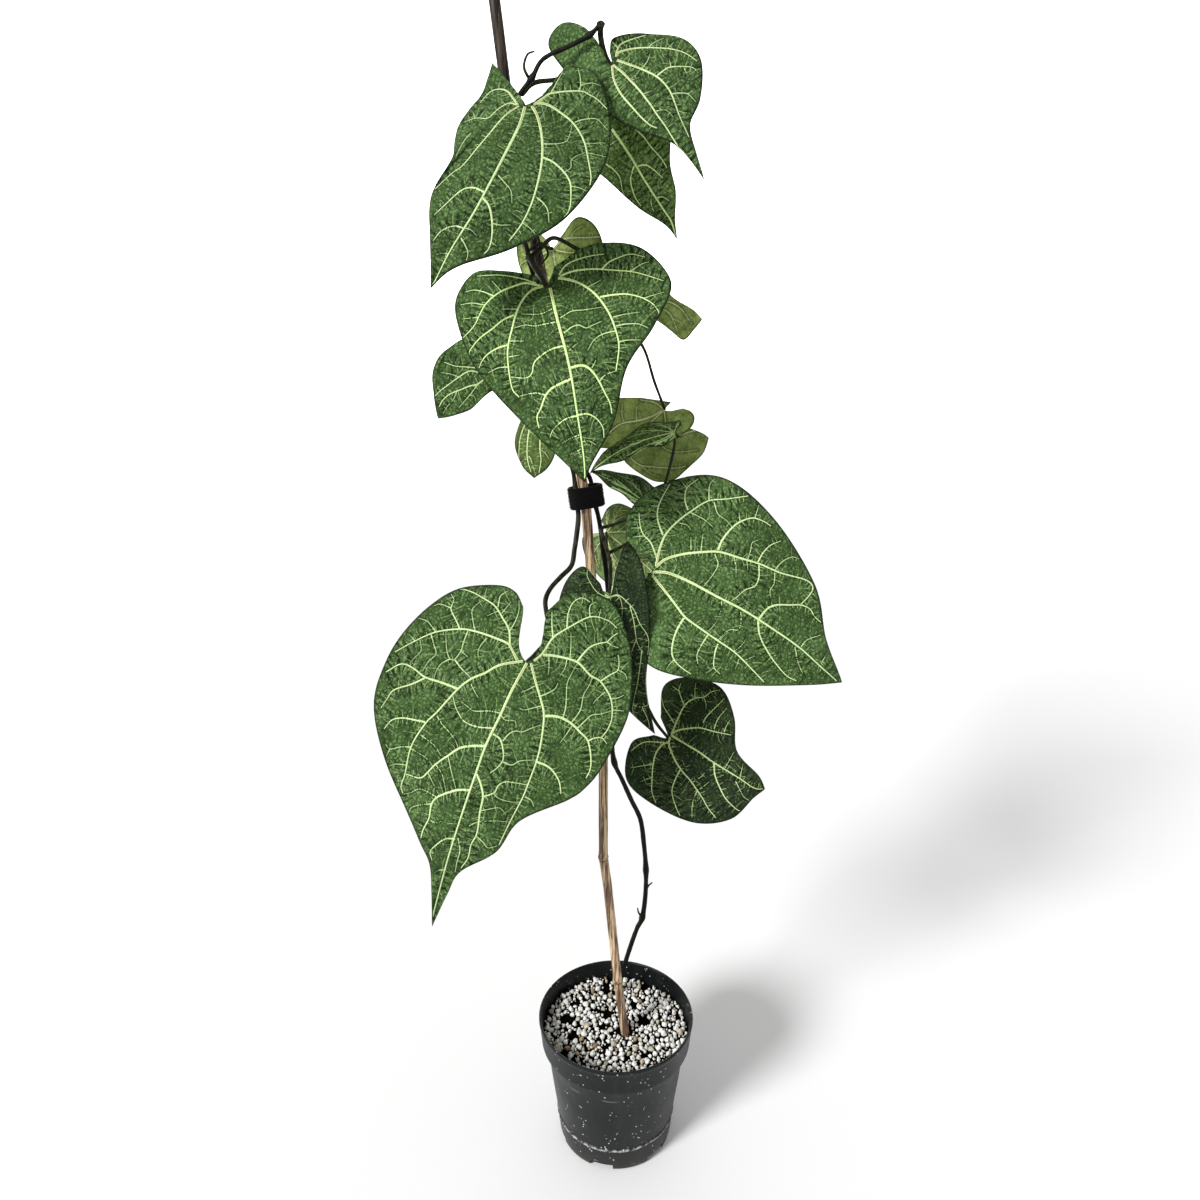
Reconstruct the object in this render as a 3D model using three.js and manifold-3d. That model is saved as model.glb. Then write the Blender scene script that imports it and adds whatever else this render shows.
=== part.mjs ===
// A climbing pipevine with heart-shaped, pale-veined leaves, tied to a bamboo cane in a 12 cm nursery pot.
// Millimetres, +Z up, origin at the middle of the pot's underside. The leaves face -Y.

import * as THREE from "three";
import { mergeVertices } from "three/addons/utils/BufferGeometryUtils.js";
import Module from "manifold-3d";

const wasm = await Module();
wasm.setup();

// Driving dimensions

const GAP = 0.3;

const POT = {
  height: 110,
  rimRadius: 60,
  collarHeight: 22,
  bodyTopRadius: 54,
  baseRadius: 43,
  ringHeight: 22,
  wall: 1.6,
  footHeight: 6,
  floorThickness: 2.4,
  padRadius: 27,
  channelRadius: 38,
  sides: 40,
  notches: 6,
  notchWidth: 18,
  notchTurn: -105,
  drainRadius: 4,
};

const SOIL_TOP = 95;
const PERLITE = { base: 1.7, grains: 62, smallest: 2.4, largest: 3.9, spacing: 10.6, bareSpots: 6 };

const CANE = { radius: 3.45, nodeRadius: 4.1, nodeHalf: 3, sides: 12 };
const CANE_ROUTE = [
  [17, -8, 12],
  [7, -6, 97],
  [1, -5, 145],
  [-7, -3, 229],
  [-10, -2, 251],
  [-10, -1, 329],
  [-19, 2, 476],
  [-22, 3, 517],
  [-36, 5, 591],
  [-47, 6, 647],
  [-67, 9, 756],
  [-84, 12, 905],
];
const CANE_NODE_HEIGHTS = [145, 251, 402, 545, 689, 823];

const STEM = { sides: 6, baseRadius: 1.9, tipRadius: 1.2, nodeSwell: 0.7 };
const STEM_ROUTE = [
  [3, 37, 52],
  [3, 36, 97],
  [7, 33, 124],
  [12, 31, 146],
  [17, 29, 165],
  [21, 28, 176],
  [23, 26, 198],
  [23, 24, 222],
  [21, 22, 246],
  [18, 21, 268],
  [11, 20, 285],
  [4, 18, 303],
  [-2, 17, 318],
  [-4, 15, 339],
  [-5, 13, 377],
  [-5, 12, 415],
  [-7, 11, 451],
  [-10, 10, 480],
  [-13, 9, 500],
  [-15, 7.5, 509],
  [-17, 7.5, 518],
  [-19, 9.5, 528],
  [-25, 13, 536],
  [-34, 12, 543],
  [-41, 11, 553],
  [-47, 4, 572],
  [-49, 1, 597],
  [-50, -2, 621],
  [-51, -4, 644],
  [-54, -4, 660],
  [-58, -2, 675],
  [-63, 0, 694],
  [-67, 0, 716],
  [-66, 0, 734],
  [-59, 0, 748],
  [-51, -2, 757],
  [-46, -2, 765],
  [-40, -2, 769],
  [-29, -3, 773],
  [-18, -4, 778],
  [-12, -6, 783],
];
const STEM_NODES = [5, 7, 12, 17, 22, 24, 27, 29, 33, 35, 39];

// Leaf stalks: the routes start inside the stem and end under their leaf. Radius in mm.
const STALKS = {
  crown_left: { radius: 1.3, route: [[-66, 0, 722], [-64, -8, 731], [-58, -17, 737]] },
  crown_right: { radius: 1.4, route: [[-12, -6, 783], [-12, 0, 778], [-10, 3, 771]] },
  crown_back: { radius: 1.1, route: [[-57, 0, 750], [-50, 8, 757], [-39, 15, 760], [-28, 23, 764], [-24, 27, 760]] },
  middle_front: { radius: 1.6, route: [[-54, -4, 662], [-51, -13, 657], [-46, -23, 650]] },
  middle_left: { radius: 1.1, route: [[-50, -2, 621], [-58, 6, 617], [-69, 12, 609]] },
  small_hanging: { radius: 1, route: [[-48, 3, 585], [-52, 6, 579], [-52, 5, 574]] },
  middle_right: { radius: 1.1, route: [[-54, -4, 662], [-47, -2, 668], [-40, 8, 674], [-26, 15, 668], [-8, 18, 659]] },
  back_right: { radius: 1.1, route: [[-41, 11, 553], [-26, 20, 556], [-10, 26, 553], [3, 29, 548]] },
  back_upper: { radius: 0.9, route: [[-50, -2, 618], [-42, 16, 622], [-5, 24, 626], [14, 28, 612], [23, 24, 588]] },
  folded: { radius: 0.9, route: [[-10, 10, 476], [8, 18, 484], [22, 17, 504], [30, 15, 522], [35, 8, 546]] },
  edge_on: { radius: 0.9, route: [[-12, 9, 495], [-3, 11, 497], [7, 12, 501], [14, 13, 505]] },
  back_pale: { radius: 1, route: [[-9, 10, 470], [-8, 18, 472], [-8, 26, 479]] },
  low_centre: { radius: 1.1, route: [[-12, 9, 495], [-10, -4, 490], [-6, -20, 479], [-6, -33, 469]] },
  low_right: { radius: 1.4, route: [[-6, 12, 437], [5, 6, 440], [14, -8, 452], [19, -20, 467]] },
  low_left: {
    radius: 1.4,
    route: [[-31, 12, 540], [-29, 9, 530], [-28, 4, 517], [-26.5, 2, 505], [-27.5, -1, 494], [-29, -5, 484],
      [-31, -9, 474], [-38, -16, 468], [-44, -24, 463], [-47, -30, 457], [-46, -37, 450], [-44, -44, 444],
      [-46, -52, 437], [-52, -58, 431]],
  },
  small_right: { radius: 1.1, route: [[-5, 12, 394], [9, 13, 386], [19, 11, 369], [27, 4, 356]] },
  back_top: { radius: 1, route: [[-57, -2, 672], [-60, 8, 675], [-57, 20, 674], [-49, 29, 671]] },
};
const TENDRIL_RADIUS = 0.8;
const TENDRILS = [
  [[-52, -2, 756], [-55, -4, 762], [-53, -5, 768], [-49, -4, 770]],
  [[-55, -3, 666], [-47, -6, 670], [-43, -8, 664], [-47, -9, 658]],
  [[23, 26, 200], [25, 25, 207], [28, 24, 211]],
  [[21, 28, 176], [18, 26, 182], [17, 25, 187]],
];

const TIE = {
  centre: [-21.6, 4.6, 517],
  lean: [-0.15, 0.025, 1],
  height: 14,
  holeHalfWidth: 8.7,
  holeHalfDepth: 6.3,
  cornerPower: 3,
  strap: 1.9,
  overlap: 1.1,
};

// Leaves. base is where the stalk joins, tip is the drawn-out point, and face is the way the upper side looks.
// left and right are half outlines, seen from the upper side with the tip down: [distance from midrib,
// distance from base towards tip], from the corner of the basal lobe round to the tip.
// arch lifts the midrib, cup bends the sides, fold slopes the left and right half, wave ripples the edge,
// and fan is the angle from the midrib at which the left and right side of the basal notch leave the stalk.
const BLADE = 0.8;
const FAN = 2.2;
const FAN_SHARE = 0.7;
const LOBE_ARCH = 0.35;
const FOLD_SOFTNESS = 8;
const EDGE_WAVES = 2.5;

const LEAVES = {
  crown_left: {
    base: [-53, -24, 739], tip: [-103, -66, 643], face: [-0.1, -1, 0.3],
    arch: 10, cup: -0.08, fold: [-0.5, -0.12], wave: 2, fine: true,
    left: [[38, -28], [34, -16], [31, -4], [33, 9], [33, 21], [28, 33], [22, 44], [21.5, 51], [24, 62],
      [24, 69], [20, 78], [12, 91], [4, 106]],
    right: [[8, -35], [25, -37], [43, -17], [54, 16], [50, 51], [31, 79], [10, 101]],
  },
  crown_right: {
    base: [-6, -4, 763], tip: [47, -14, 703], face: [0, -1, 0.45],
    arch: 8, cup: -0.06, fold: [-0.9, -0.08], wave: 2, fine: true,
    left: [[-2.5, -10], [-4, -26], [3, -38], [14, -36], [18, -16], [18, 10], [12, 37], [4, 57]],
    right: [[5, -7], [12, -11], [29, -3], [42, 12], [40, 30], [26, 46], [11, 54], [3, 69]],
  },
  crown_back: {
    base: [-21, 24, 756], tip: [35, 20, 674], face: [0, -1, 0.25],
    arch: 8, cup: -0.1, fold: [-0.1, -0.1], fan: [1.5, 2.2], wave: 2, fine: true,
    left: [[4, -9], [15, -11], [27, 6], [27, 26], [19, 47], [11, 71], [3, 88]],
    right: [[6, -7], [21, -3], [34, 18], [31, 42], [19, 61], [14, 76], [4, 90]],
  },
  middle_front: {
    base: [-43, -32, 645], tip: [-21, -64, 538], face: [-0.05, -1, 0.3],
    arch: 12, cup: -0.12, fold: [-0.12, -0.12], wave: 2.5, fine: true,
    left: [[5, -8], [22, -15], [41, -20], [54, -7], [54, 14], [47, 42], [28, 74], [9, 101]],
    right: [[7, -11], [30, -20], [58, -15], [71, 9], [56, 35], [36, 56], [23, 84], [6, 105]],
  },
  low_left: {
    base: [-57, -64, 428], tip: [-115, -110, 273], face: [-0.05, -1, 0.4],
    arch: 10, cup: -0.06, fold: [-0.06, -0.1], fan: [1.6, 1.9], wave: 3, fine: true,
    left: [[14, -31], [22, -38], [34, -38], [56, -28], [70, -12], [79, 8], [82, 30], [79, 56],
      [62, 84], [38, 110], [24, 124], [13, 134], [6, 151]],
    right: [[1, -34], [12, -50], [36, -52], [54, -33], [64, -11], [69, 12], [65, 42], [60, 57],
      [52, 69], [29, 91], [22, 113], [6, 131], [3, 147]],
  },
  low_right: {
    base: [22, -28, 476], tip: [140, -50, 409], face: [0.05, -1, 0.3],
    arch: 10, cup: -0.1, fold: [-0.06, -0.08], wave: 3, fine: true,
    left: [[8, -6], [24, -10], [42, 3], [53, 28], [45, 58], [32, 87], [13, 118]],
    right: [[8, -26], [25, -33], [50, -25], [73, 4], [67, 46], [44, 91], [17, 114]],
  },
  small_right: {
    base: [35, -8, 350], tip: [101, -24, 319], face: [0, -1, 0.55],
    arch: 5, cup: -0.1, fold: [-0.1, -0.1], wave: 2, fine: true,
    left: [[3, -10], [15, -21], [38, -13], [45, 9], [43, 41], [29, 63], [9, 70]],
    right: [[10, -11], [31, -19], [45, -7], [49, 16], [34, 34], [14, 46], [6, 66]],
  },
  low_centre: {
    base: [-7, -43, 462], tip: [23, -50, 373], face: [-0.1, -1, 0.35],
    arch: 5, cup: -0.1, fold: [-0.15, -0.15], wave: 2, fine: true,
    left: [[2, -11], [9, -24], [24, -16], [33, 2], [26, 29], [14, 64]],
    right: [[9, -15], [21, -29], [26, -14], [23, 9], [16, 33], [5, 60]],
  },
  middle_left: {
    base: [-77, 12, 599], tip: [-115, 4, 567], face: [-0.15, -1, 0.15],
    arch: 4, cup: -0.1, fold: [-0.08, -0.08], wave: 1.5,
    left: [[9, -5], [20, -2], [28, 6], [29, 15], [28, 25], [23, 35], [14, 42], [4, 48]],
    right: [[5, -5], [10, -1], [12, 5], [10, 13], [10, 21], [10, 29], [8, 36], [4, 45]],
  },
  small_hanging: {
    base: [-50, 0, 572], tip: [-54, -8, 531], face: [-0.2, -1, 0.15],
    arch: 3, cup: -0.1, fold: [-0.1, -0.1], wave: 1,
    left: [[3, -6], [10, 0], [14, 20], [9, 34]],
    right: [[3, -6], [9, 0], [13, 22], [8, 35]],
  },
  middle_right: {
    base: [2, 16, 650], tip: [51, 8, 627], face: [0.15, -1, 0.2],
    arch: 3, cup: 0.08, fold: [-0.1, -0.1], wave: 1.5,
    left: [[6, -4], [11, 5], [13, 16], [13, 25], [14.5, 34], [15.5, 42], [16, 50], [8, 53]],
    right: [[5, -5], [9, 0], [10, 8], [8, 16], [6, 24], [4, 31], [3, 39], [2, 47]],
  },
  back_right: {
    base: [9, 34, 545], tip: [59, 20, 553], face: [0.1, 1, -0.35],
    arch: 4, cup: -0.1, fold: [-0.08, -0.08], wave: 1.5,
    left: [[4, -6], [9, -5], [13, 2], [15, 12], [14, 22], [12, 31], [8, 40], [4, 48]],
    right: [[4, -8], [11, -4], [19, 5], [25, 15], [25, 26], [20, 35], [15, 42], [9, 48]],
  },
  back_upper: {
    base: [30, 26, 570], tip: [-22, 14, 548], face: [0.05, 1, -0.3],
    arch: 4, cup: -0.1, fold: [-0.08, -0.08], wave: 1.5,
    left: [[4, -11], [8, -15], [13, -15], [18, -10], [20, 2], [19, 15], [15, 27], [9, 39]],
    right: [[3, -6], [6, -2], [11, 6], [16, 14], [20, 22], [22, 31], [18, 40], [9, 48]],
  },
  folded: {
    base: [35, 6, 558], tip: [-19, 2, 532], face: [0.15, -0.45, 0.9],
    arch: 6, cup: -0.1, fold: [-0.3, -0.3], wave: 1.5,
    left: [[5, -7], [14, -6], [19, 12], [13, 34]],
    right: [[5, -2], [8, 8], [7, 22], [6, 40]],
  },
  edge_on: {
    base: [18, 14, 511], tip: [-19, 12, 532], face: [-0.1, -0.6, 0.8],
    arch: 3, cup: -0.1, fold: [-0.2, -0.2], wave: 1,
    left: [[6, -9], [18, -8], [17, 9], [9, 28]],
    right: [[3, -3], [6, 5], [6, 18], [4, 30]],
  },
  back_pale: {
    base: [-8, 34, 486], tip: [31, 24, 455], face: [0, 1, -0.3],
    arch: 4, cup: -0.1, fold: [-0.08, -0.08], wave: 1.5,
    left: [[4, -8], [14, -10], [22, -4], [24, 12], [14, 35]],
    right: [[6, -6], [14, -10], [24, 4], [26, 26], [13, 43]],
  },
  back_top: {
    base: [-42, 34, 669], tip: [-38, 24, 634], face: [0.1, 1, -0.25],
    arch: 3, cup: -0.1, fold: [-0.08, -0.08], wave: 1.5,
    left: [[5, -6], [17, -16], [29, -8], [31, 8], [18, 26]],
    right: [[3, -6], [12, -15], [22, -6], [22, 10], [13, 27]],
  },
};

// Colours and surfaces

const material = (color, roughness) => new THREE.MeshStandardMaterial({ color, roughness, metalness: 0 });
const POT_PLASTIC = material(0x2e3131, 0.5);
const SOIL_DARK = material(0x14110d, 0.95);
const PERLITE_WHITE = material(0xe6e0d2, 0.95);
const CANE_TAN = material(0xa5865f, 0.6);
const STEM_DARK = material(0x1c1e1a, 0.6);
const STRAP_BLACK = material(0x0c0c0c, 0.9);
const LEAF_GREEN = material(0x2f5232, 0.5);
const LEAF_UNDERSIDE = material(0x66783c, 0.6);

const SEEN_FROM_BELOW = new Set(["back_right", "back_upper", "back_pale", "back_top", "middle_right", "small_hanging"]);

// Small tools

const vec = (p) => new THREE.Vector3(p[0], p[1], p[2]);

function seededRandom(seed) {
  let state = seed;
  return () => {
    state = (state * 1664525 + 1013904223) % 4294967296;
    return state / 4294967296;
  };
}

// A point on the smooth curve through the listed points, with t running from 0 at the first to 1 at the last.
function along(points, t) {
  const spans = points.length - 1;
  const place = Math.min(Math.max(t, 0), 1) * spans;
  const span = Math.min(Math.floor(place), spans - 1);
  const u = place - span;
  const p1 = points[span];
  const p2 = points[span + 1];
  const p0 = points[span - 1] ?? p1.map((value, i) => 2 * value - p2[i]);
  const p3 = points[span + 2] ?? p2.map((value, i) => 2 * value - p1[i]);
  return p1.map((value, i) => {
    const slope1 = (p2[i] - p0[i]) / 2;
    const slope2 = (p3[i] - p1[i]) / 2;
    const rise = p2[i] - value;
    return value + u * (slope1 + u * (3 * rise - 2 * slope1 - slope2 + u * (slope1 + slope2 - 2 * rise)));
  });
}

function surfaceOf(vertices, triangles) {
  const geometry = new THREE.BufferGeometry();
  geometry.setAttribute("position", new THREE.Float32BufferAttribute(vertices.flat(), 3));
  geometry.setIndex(triangles.flat());
  geometry.computeVertexNormals();
  return geometry;
}

function toSolid(geometry) {
  const bare = geometry.clone();
  bare.deleteAttribute("normal");
  bare.deleteAttribute("uv");
  const merged = mergeVertices(bare, 1e-4);
  const vertProperties = new Float32Array(merged.attributes.position.array);
  const triVerts = new Uint32Array(merged.index.array);
  return new wasm.Manifold(new wasm.Mesh({ numProp: 3, vertProperties, triVerts }));
}

function toGeometry(solid) {
  const { vertProperties, triVerts } = solid.getMesh();
  const geometry = new THREE.BufferGeometry();
  geometry.setAttribute("position", new THREE.Float32BufferAttribute(vertProperties, 3));
  geometry.setIndex([...triVerts]);
  geometry.computeVertexNormals();
  return geometry;
}

// A closed round tube through the stations, each with its own radius.
function roundTube(stations, radii, sides) {
  const centres = stations.map(vec);
  const vertices = [];
  const triangles = [];
  let across = new THREE.Vector3(1, 0, 0);
  centres.forEach((centre, i) => {
    const before = centres[Math.max(i - 1, 0)];
    const after = centres[Math.min(i + 1, centres.length - 1)];
    const forward = after.clone().sub(before).normalize();
    across = across.clone().addScaledVector(forward, -across.dot(forward)).normalize();
    const third = forward.clone().cross(across);
    for (let k = 0; k < sides; k += 1) {
      const angle = (2 * Math.PI * k) / sides;
      const point = centre.clone();
      point.addScaledVector(across, radii[i] * Math.cos(angle));
      point.addScaledVector(third, radii[i] * Math.sin(angle));
      vertices.push(point.toArray());
    }
  });
  const rings = centres.length;
  for (let i = 0; i < rings - 1; i += 1) {
    for (let k = 0; k < sides; k += 1) {
      const a = i * sides + k;
      const b = i * sides + ((k + 1) % sides);
      triangles.push([a, b, b + sides], [a, b + sides, a + sides]);
    }
  }
  const first = vertices.push(stations[0]) - 1;
  const last = vertices.push(stations[rings - 1]) - 1;
  for (let k = 0; k < sides; k += 1) {
    const next = (k + 1) % sides;
    triangles.push([first, next, k], [last, (rings - 1) * sides + k, (rings - 1) * sides + next]);
  }
  return surfaceOf(vertices, triangles);
}

function smoothTube(route, radiusAt, stepsPerSpan, sides) {
  const count = (route.length - 1) * stepsPerSpan + 1;
  const stations = [];
  const radii = [];
  for (let i = 0; i < count; i += 1) {
    const t = i / (count - 1);
    stations.push(along(route, t));
    radii.push(radiusAt(t));
  }
  return roundTube(stations, radii, sides);
}

function join(solids) {
  return solids.reduce((whole, next) => whole.add(next));
}

// Pot

function potInside(clearance) {
  const collarFoot = POT.height - POT.collarHeight;
  const floor = POT.footHeight + POT.floorThickness;
  const narrow = POT.wall + clearance;
  return [
    [POT.baseRadius + 1 - narrow, floor + clearance],
    [POT.baseRadius + 3 - narrow, POT.ringHeight],
    [POT.bodyTopRadius - narrow, collarFoot - 2],
    [POT.rimRadius - 2 - narrow, collarFoot + 2 + clearance],
    [POT.rimRadius - 0.6 - narrow, POT.height - 3],
  ];
}

function potProfile() {
  const collarFoot = POT.height - POT.collarHeight;
  const inside = potInside(0).reverse();
  return [
    [0, 0],
    [POT.padRadius, 0],
    [POT.padRadius + 1, POT.footHeight],
    [POT.channelRadius, POT.footHeight],
    [POT.channelRadius + 1, 0],
    [POT.baseRadius, 0],
    [POT.baseRadius + 1.2, 1.5],
    [POT.baseRadius + 2.6, 12],
    [POT.baseRadius + 3.2, POT.ringHeight - 1.5],
    [POT.baseRadius + 4, POT.ringHeight - 0.5],
    [POT.baseRadius + 4, POT.ringHeight + 0.5],
    [POT.baseRadius + 3.3, POT.ringHeight + 1.5],
    [POT.bodyTopRadius, collarFoot],
    [POT.rimRadius - 2.2, collarFoot + 0.4],
    [POT.rimRadius - 1.9, collarFoot + 1.6],
    [POT.rimRadius - 0.5, POT.height - 4],
    [POT.rimRadius, POT.height - 2.6],
    [POT.rimRadius, POT.height - 0.7],
    [POT.rimRadius - 0.7, POT.height],
    [POT.rimRadius - 1.8, POT.height - 0.4],
    ...inside,
    [0, POT.footHeight + POT.floorThickness],
  ];
}

function makePot() {
  const profile = potProfile().map(([radius, height]) => new THREE.Vector2(radius, height));
  const turned = new THREE.LatheGeometry(profile, POT.sides);
  turned.rotateX(Math.PI / 2);
  let solid = toSolid(turned);
  for (let i = 0; i < POT.notches; i += 1) {
    const turn = THREE.MathUtils.degToRad(POT.notchTurn + (360 / POT.notches) * i);
    const notch = new THREE.BoxGeometry(14, POT.notchWidth, 2 * POT.footHeight);
    notch.translate(POT.baseRadius, 0, 0);
    notch.rotateZ(turn);
    solid = solid.subtract(toSolid(notch));
    const drain = new THREE.CylinderGeometry(POT.drainRadius, POT.drainRadius, 12, 12);
    drain.rotateX(Math.PI / 2);
    drain.translate((POT.padRadius + POT.channelRadius + 1) / 2, 0, POT.footHeight);
    drain.rotateZ(turn);
    solid = solid.subtract(toSolid(drain));
  }
  return toGeometry(solid);
}

// Soil and the perlite spread over it

function insideRadiusAt(height, clearance) {
  const wall = potInside(clearance);
  for (let i = 1; i < wall.length; i += 1) {
    const [lowRadius, low] = wall[i - 1];
    const [highRadius, high] = wall[i];
    if (height <= high) {
      return lowRadius + ((highRadius - lowRadius) * (height - low)) / (high - low);
    }
  }
  return wall[wall.length - 1][0];
}

function turnedSolid(profile, sides) {
  const points = profile.map(([radius, height]) => new THREE.Vector2(radius, height));
  const turned = new THREE.LatheGeometry(points, sides);
  turned.rotateX(Math.PI / 2);
  return toSolid(turned);
}

function makeSoil(holes) {
  const wall = potInside(GAP).filter(([, height]) => height < SOIL_TOP - 2);
  const topRadius = insideRadiusAt(SOIL_TOP, GAP);
  const profile = [[0, wall[0][1]], ...wall, [topRadius, SOIL_TOP], [0, SOIL_TOP]];
  return toGeometry(turnedSolid(profile, POT.sides).subtract(holes));
}

// Grain and bare-spot places, kept apart from each other by the spacing.
function scatter(count, limit, spacing, random) {
  const places = [];
  for (let tries = 0; places.length < count && tries < 4000; tries += 1) {
    const radius = limit * Math.sqrt(random());
    const angle = 2 * Math.PI * random();
    const place = [radius * Math.cos(angle), radius * Math.sin(angle)];
    if (places.every((other) => Math.hypot(other[0] - place[0], other[1] - place[1]) > spacing)) {
      places.push(place);
    }
  }
  return places;
}

function makePerlite(holes) {
  const random = seededRandom(12);
  const bottom = SOIL_TOP + GAP;
  const top = bottom + PERLITE.base;
  const edge = insideRadiusAt(bottom, GAP);
  const sheet = turnedSolid([[0, bottom], [edge, bottom], [edge, top], [0, top]], POT.sides);
  const grains = scatter(PERLITE.grains, edge - PERLITE.largest - 0.5, PERLITE.spacing, random).map(([x, y]) => {
    const size = PERLITE.smallest + (PERLITE.largest - PERLITE.smallest) * random();
    const grain = new THREE.IcosahedronGeometry(size, 0);
    grain.rotateX(3 * random());
    grain.rotateY(3 * random());
    grain.scale(1, 1, 0.75);
    grain.translate(x, y, top);
    return toSolid(grain);
  });
  let layer = join([sheet, ...grains]);
  const below = new THREE.BoxGeometry(200, 200, 20);
  below.translate(0, 0, bottom - 10);
  layer = layer.subtract(toSolid(below));
  for (const [x, y] of scatter(PERLITE.bareSpots, edge - 12, 20, random)) {
    const spot = new THREE.CylinderGeometry(3 + 3 * random(), 3, 30, 7);
    spot.rotateX(Math.PI / 2);
    spot.translate(x, y, top);
    layer = layer.subtract(toSolid(spot));
  }
  const pieces = layer.subtract(holes).decompose();
  return toGeometry(pieces.reduce((largest, piece) => (piece.volume() > largest.volume() ? piece : largest)));
}

// Cane

function pointAtHeight(route, height) {
  const index = route.findIndex((point, i) => i > 0 && point[2] >= height);
  const low = route[index - 1];
  const high = route[index];
  const part = (height - low[2]) / (high[2] - low[2]);
  return low.map((value, i) => value + part * (high[i] - value));
}

function caneTube(extra) {
  const stations = CANE_ROUTE.map((point) => ({ point, radius: CANE.radius + extra }));
  for (const height of CANE_NODE_HEIGHTS) {
    for (const [shift, radius] of [[-CANE.nodeHalf, CANE.radius], [0, CANE.nodeRadius], [CANE.nodeHalf, CANE.radius]]) {
      stations.push({ point: pointAtHeight(CANE_ROUTE, height + shift), radius: radius + extra });
    }
  }
  stations.sort((a, b) => a.point[2] - b.point[2]);
  const apart = stations.filter((station, i) => i === 0 || station.point[2] - stations[i - 1].point[2] > 0.5);
  return roundTube(apart.map((station) => station.point), apart.map((station) => station.radius), CANE.sides);
}

// Stem with its leaf stalks and tendrils, one grown piece

function stemRadius(t) {
  const plain = STEM.baseRadius + (STEM.tipRadius - STEM.baseRadius) * t;
  const place = t * (STEM_ROUTE.length - 1);
  const nearest = Math.min(...STEM_NODES.map((node) => Math.abs(place - node)));
  return plain + STEM.nodeSwell * Math.max(0, 1 - nearest / 0.45);
}

function makeStem() {
  const stem = toSolid(smoothTube(STEM_ROUTE, stemRadius, 1, STEM.sides));
  const stalks = Object.entries(STALKS).map(([name, { radius, route }]) => {
    const { base, normal } = leafFrame(LEAVES[name]);
    const under = BLADE / 2 + GAP + 0.8 * radius;
    const end = base.clone().addScaledVector(normal, -under).toArray();
    return toSolid(smoothTube([...route, end], (t) => radius * (1.25 - 0.25 * t), 2, 5));
  });
  const tendrils = TENDRILS.map((route) =>
    toSolid(smoothTube(route, (t) => TENDRIL_RADIUS * (1.2 - 0.5 * t), 2, 5)),
  );
  return toGeometry(join([stem, ...stalks, ...tendrils]));
}

// Strap tie: a band wound round cane, stem and one stalk, with its end lapped over

function makeTie() {
  const outline = (grow, lap) => {
    const points = [];
    const steps = 40;
    for (let i = 0; i < steps; i += 1) {
      const angle = (2 * Math.PI * i) / steps;
      const c = Math.cos(angle);
      const s = Math.sin(angle);
      const power = TIE.cornerPower;
      const a = TIE.holeHalfWidth;
      const b = TIE.holeHalfDepth;
      const reach = (Math.abs(c / a) ** power + Math.abs(s / b) ** power) ** (-1 / power);
      const radius = reach + grow + (lap * i) / steps;
      points.push(new THREE.Vector2(radius * c, radius * s));
    }
    return points;
  };
  const band = new THREE.Shape(outline(TIE.strap, TIE.overlap));
  band.holes.push(new THREE.Path(outline(0, 0)));
  const geometry = new THREE.ExtrudeGeometry(band, { depth: TIE.height, bevelEnabled: false, steps: 1 });
  geometry.translate(0, 0, -TIE.height / 2);
  const lean = vec(TIE.lean).normalize();
  geometry.applyQuaternion(new THREE.Quaternion().setFromUnitVectors(new THREE.Vector3(0, 0, 1), lean));
  geometry.translate(...TIE.centre);
  return toGeometry(toSolid(geometry));
}

// Leaves

function leafFrame(leaf) {
  const base = vec(leaf.base);
  const midrib = vec(leaf.tip).sub(base);
  const length = midrib.length();
  midrib.normalize();
  const face = vec(leaf.face);
  const normal = face.addScaledVector(midrib, -face.dot(midrib)).normalize();
  const side = normal.clone().cross(midrib);
  return { base, midrib, normal, side, length };
}

// Flat place on the blade. turn runs from -1 at the left side of the basal notch, over 0 at the tip, to 1 at
// its right side, and out runs from 0 at the stalk to 1 at the edge, along a line that bends as the veins do.
function flatPlace(leaf, length, turn, out) {
  const half = turn < 0 ? leaf.left : leaf.right;
  const mirror = turn < 0 ? -1 : 1;
  const amount = Math.abs(turn);
  const [x, y] = along([[0, length], ...[...half].reverse()], amount);
  let angle = Math.atan2(x, y);
  if (angle < -Math.PI / 2) angle += 2 * Math.PI;
  const fan = (leaf.fan ?? [FAN, FAN])[turn < 0 ? 0 : 1];
  angle += FAN_SHARE * (1 - out) ** 2 * (fan * amount - angle);
  const reach = out * Math.hypot(x, y);
  return [mirror * reach * Math.sin(angle), reach * Math.cos(angle)];
}

function bladePoint(leaf, frame, turn, out, offset) {
  const [x, y] = flatPlace(leaf, frame.length, turn, out);
  const part = y / frame.length;
  const slope = turn < 0 ? leaf.fold[0] : leaf.fold[1];
  let lift = 4 * leaf.arch * part * (1 - part) * (part < 0 ? LOBE_ARCH : 1);
  lift += slope * (Math.hypot(x, FOLD_SOFTNESS) - FOLD_SOFTNESS);
  lift += (leaf.cup * x * x) / frame.length;
  lift += leaf.wave * out ** 3 * Math.sin(2 * Math.PI * EDGE_WAVES * Math.abs(turn)) * (1 - Math.abs(turn) ** 6);
  const point = frame.base.clone();
  point.addScaledVector(frame.side, x);
  point.addScaledVector(frame.midrib, y);
  point.addScaledVector(frame.normal, lift + offset);
  return point.toArray();
}

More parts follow.
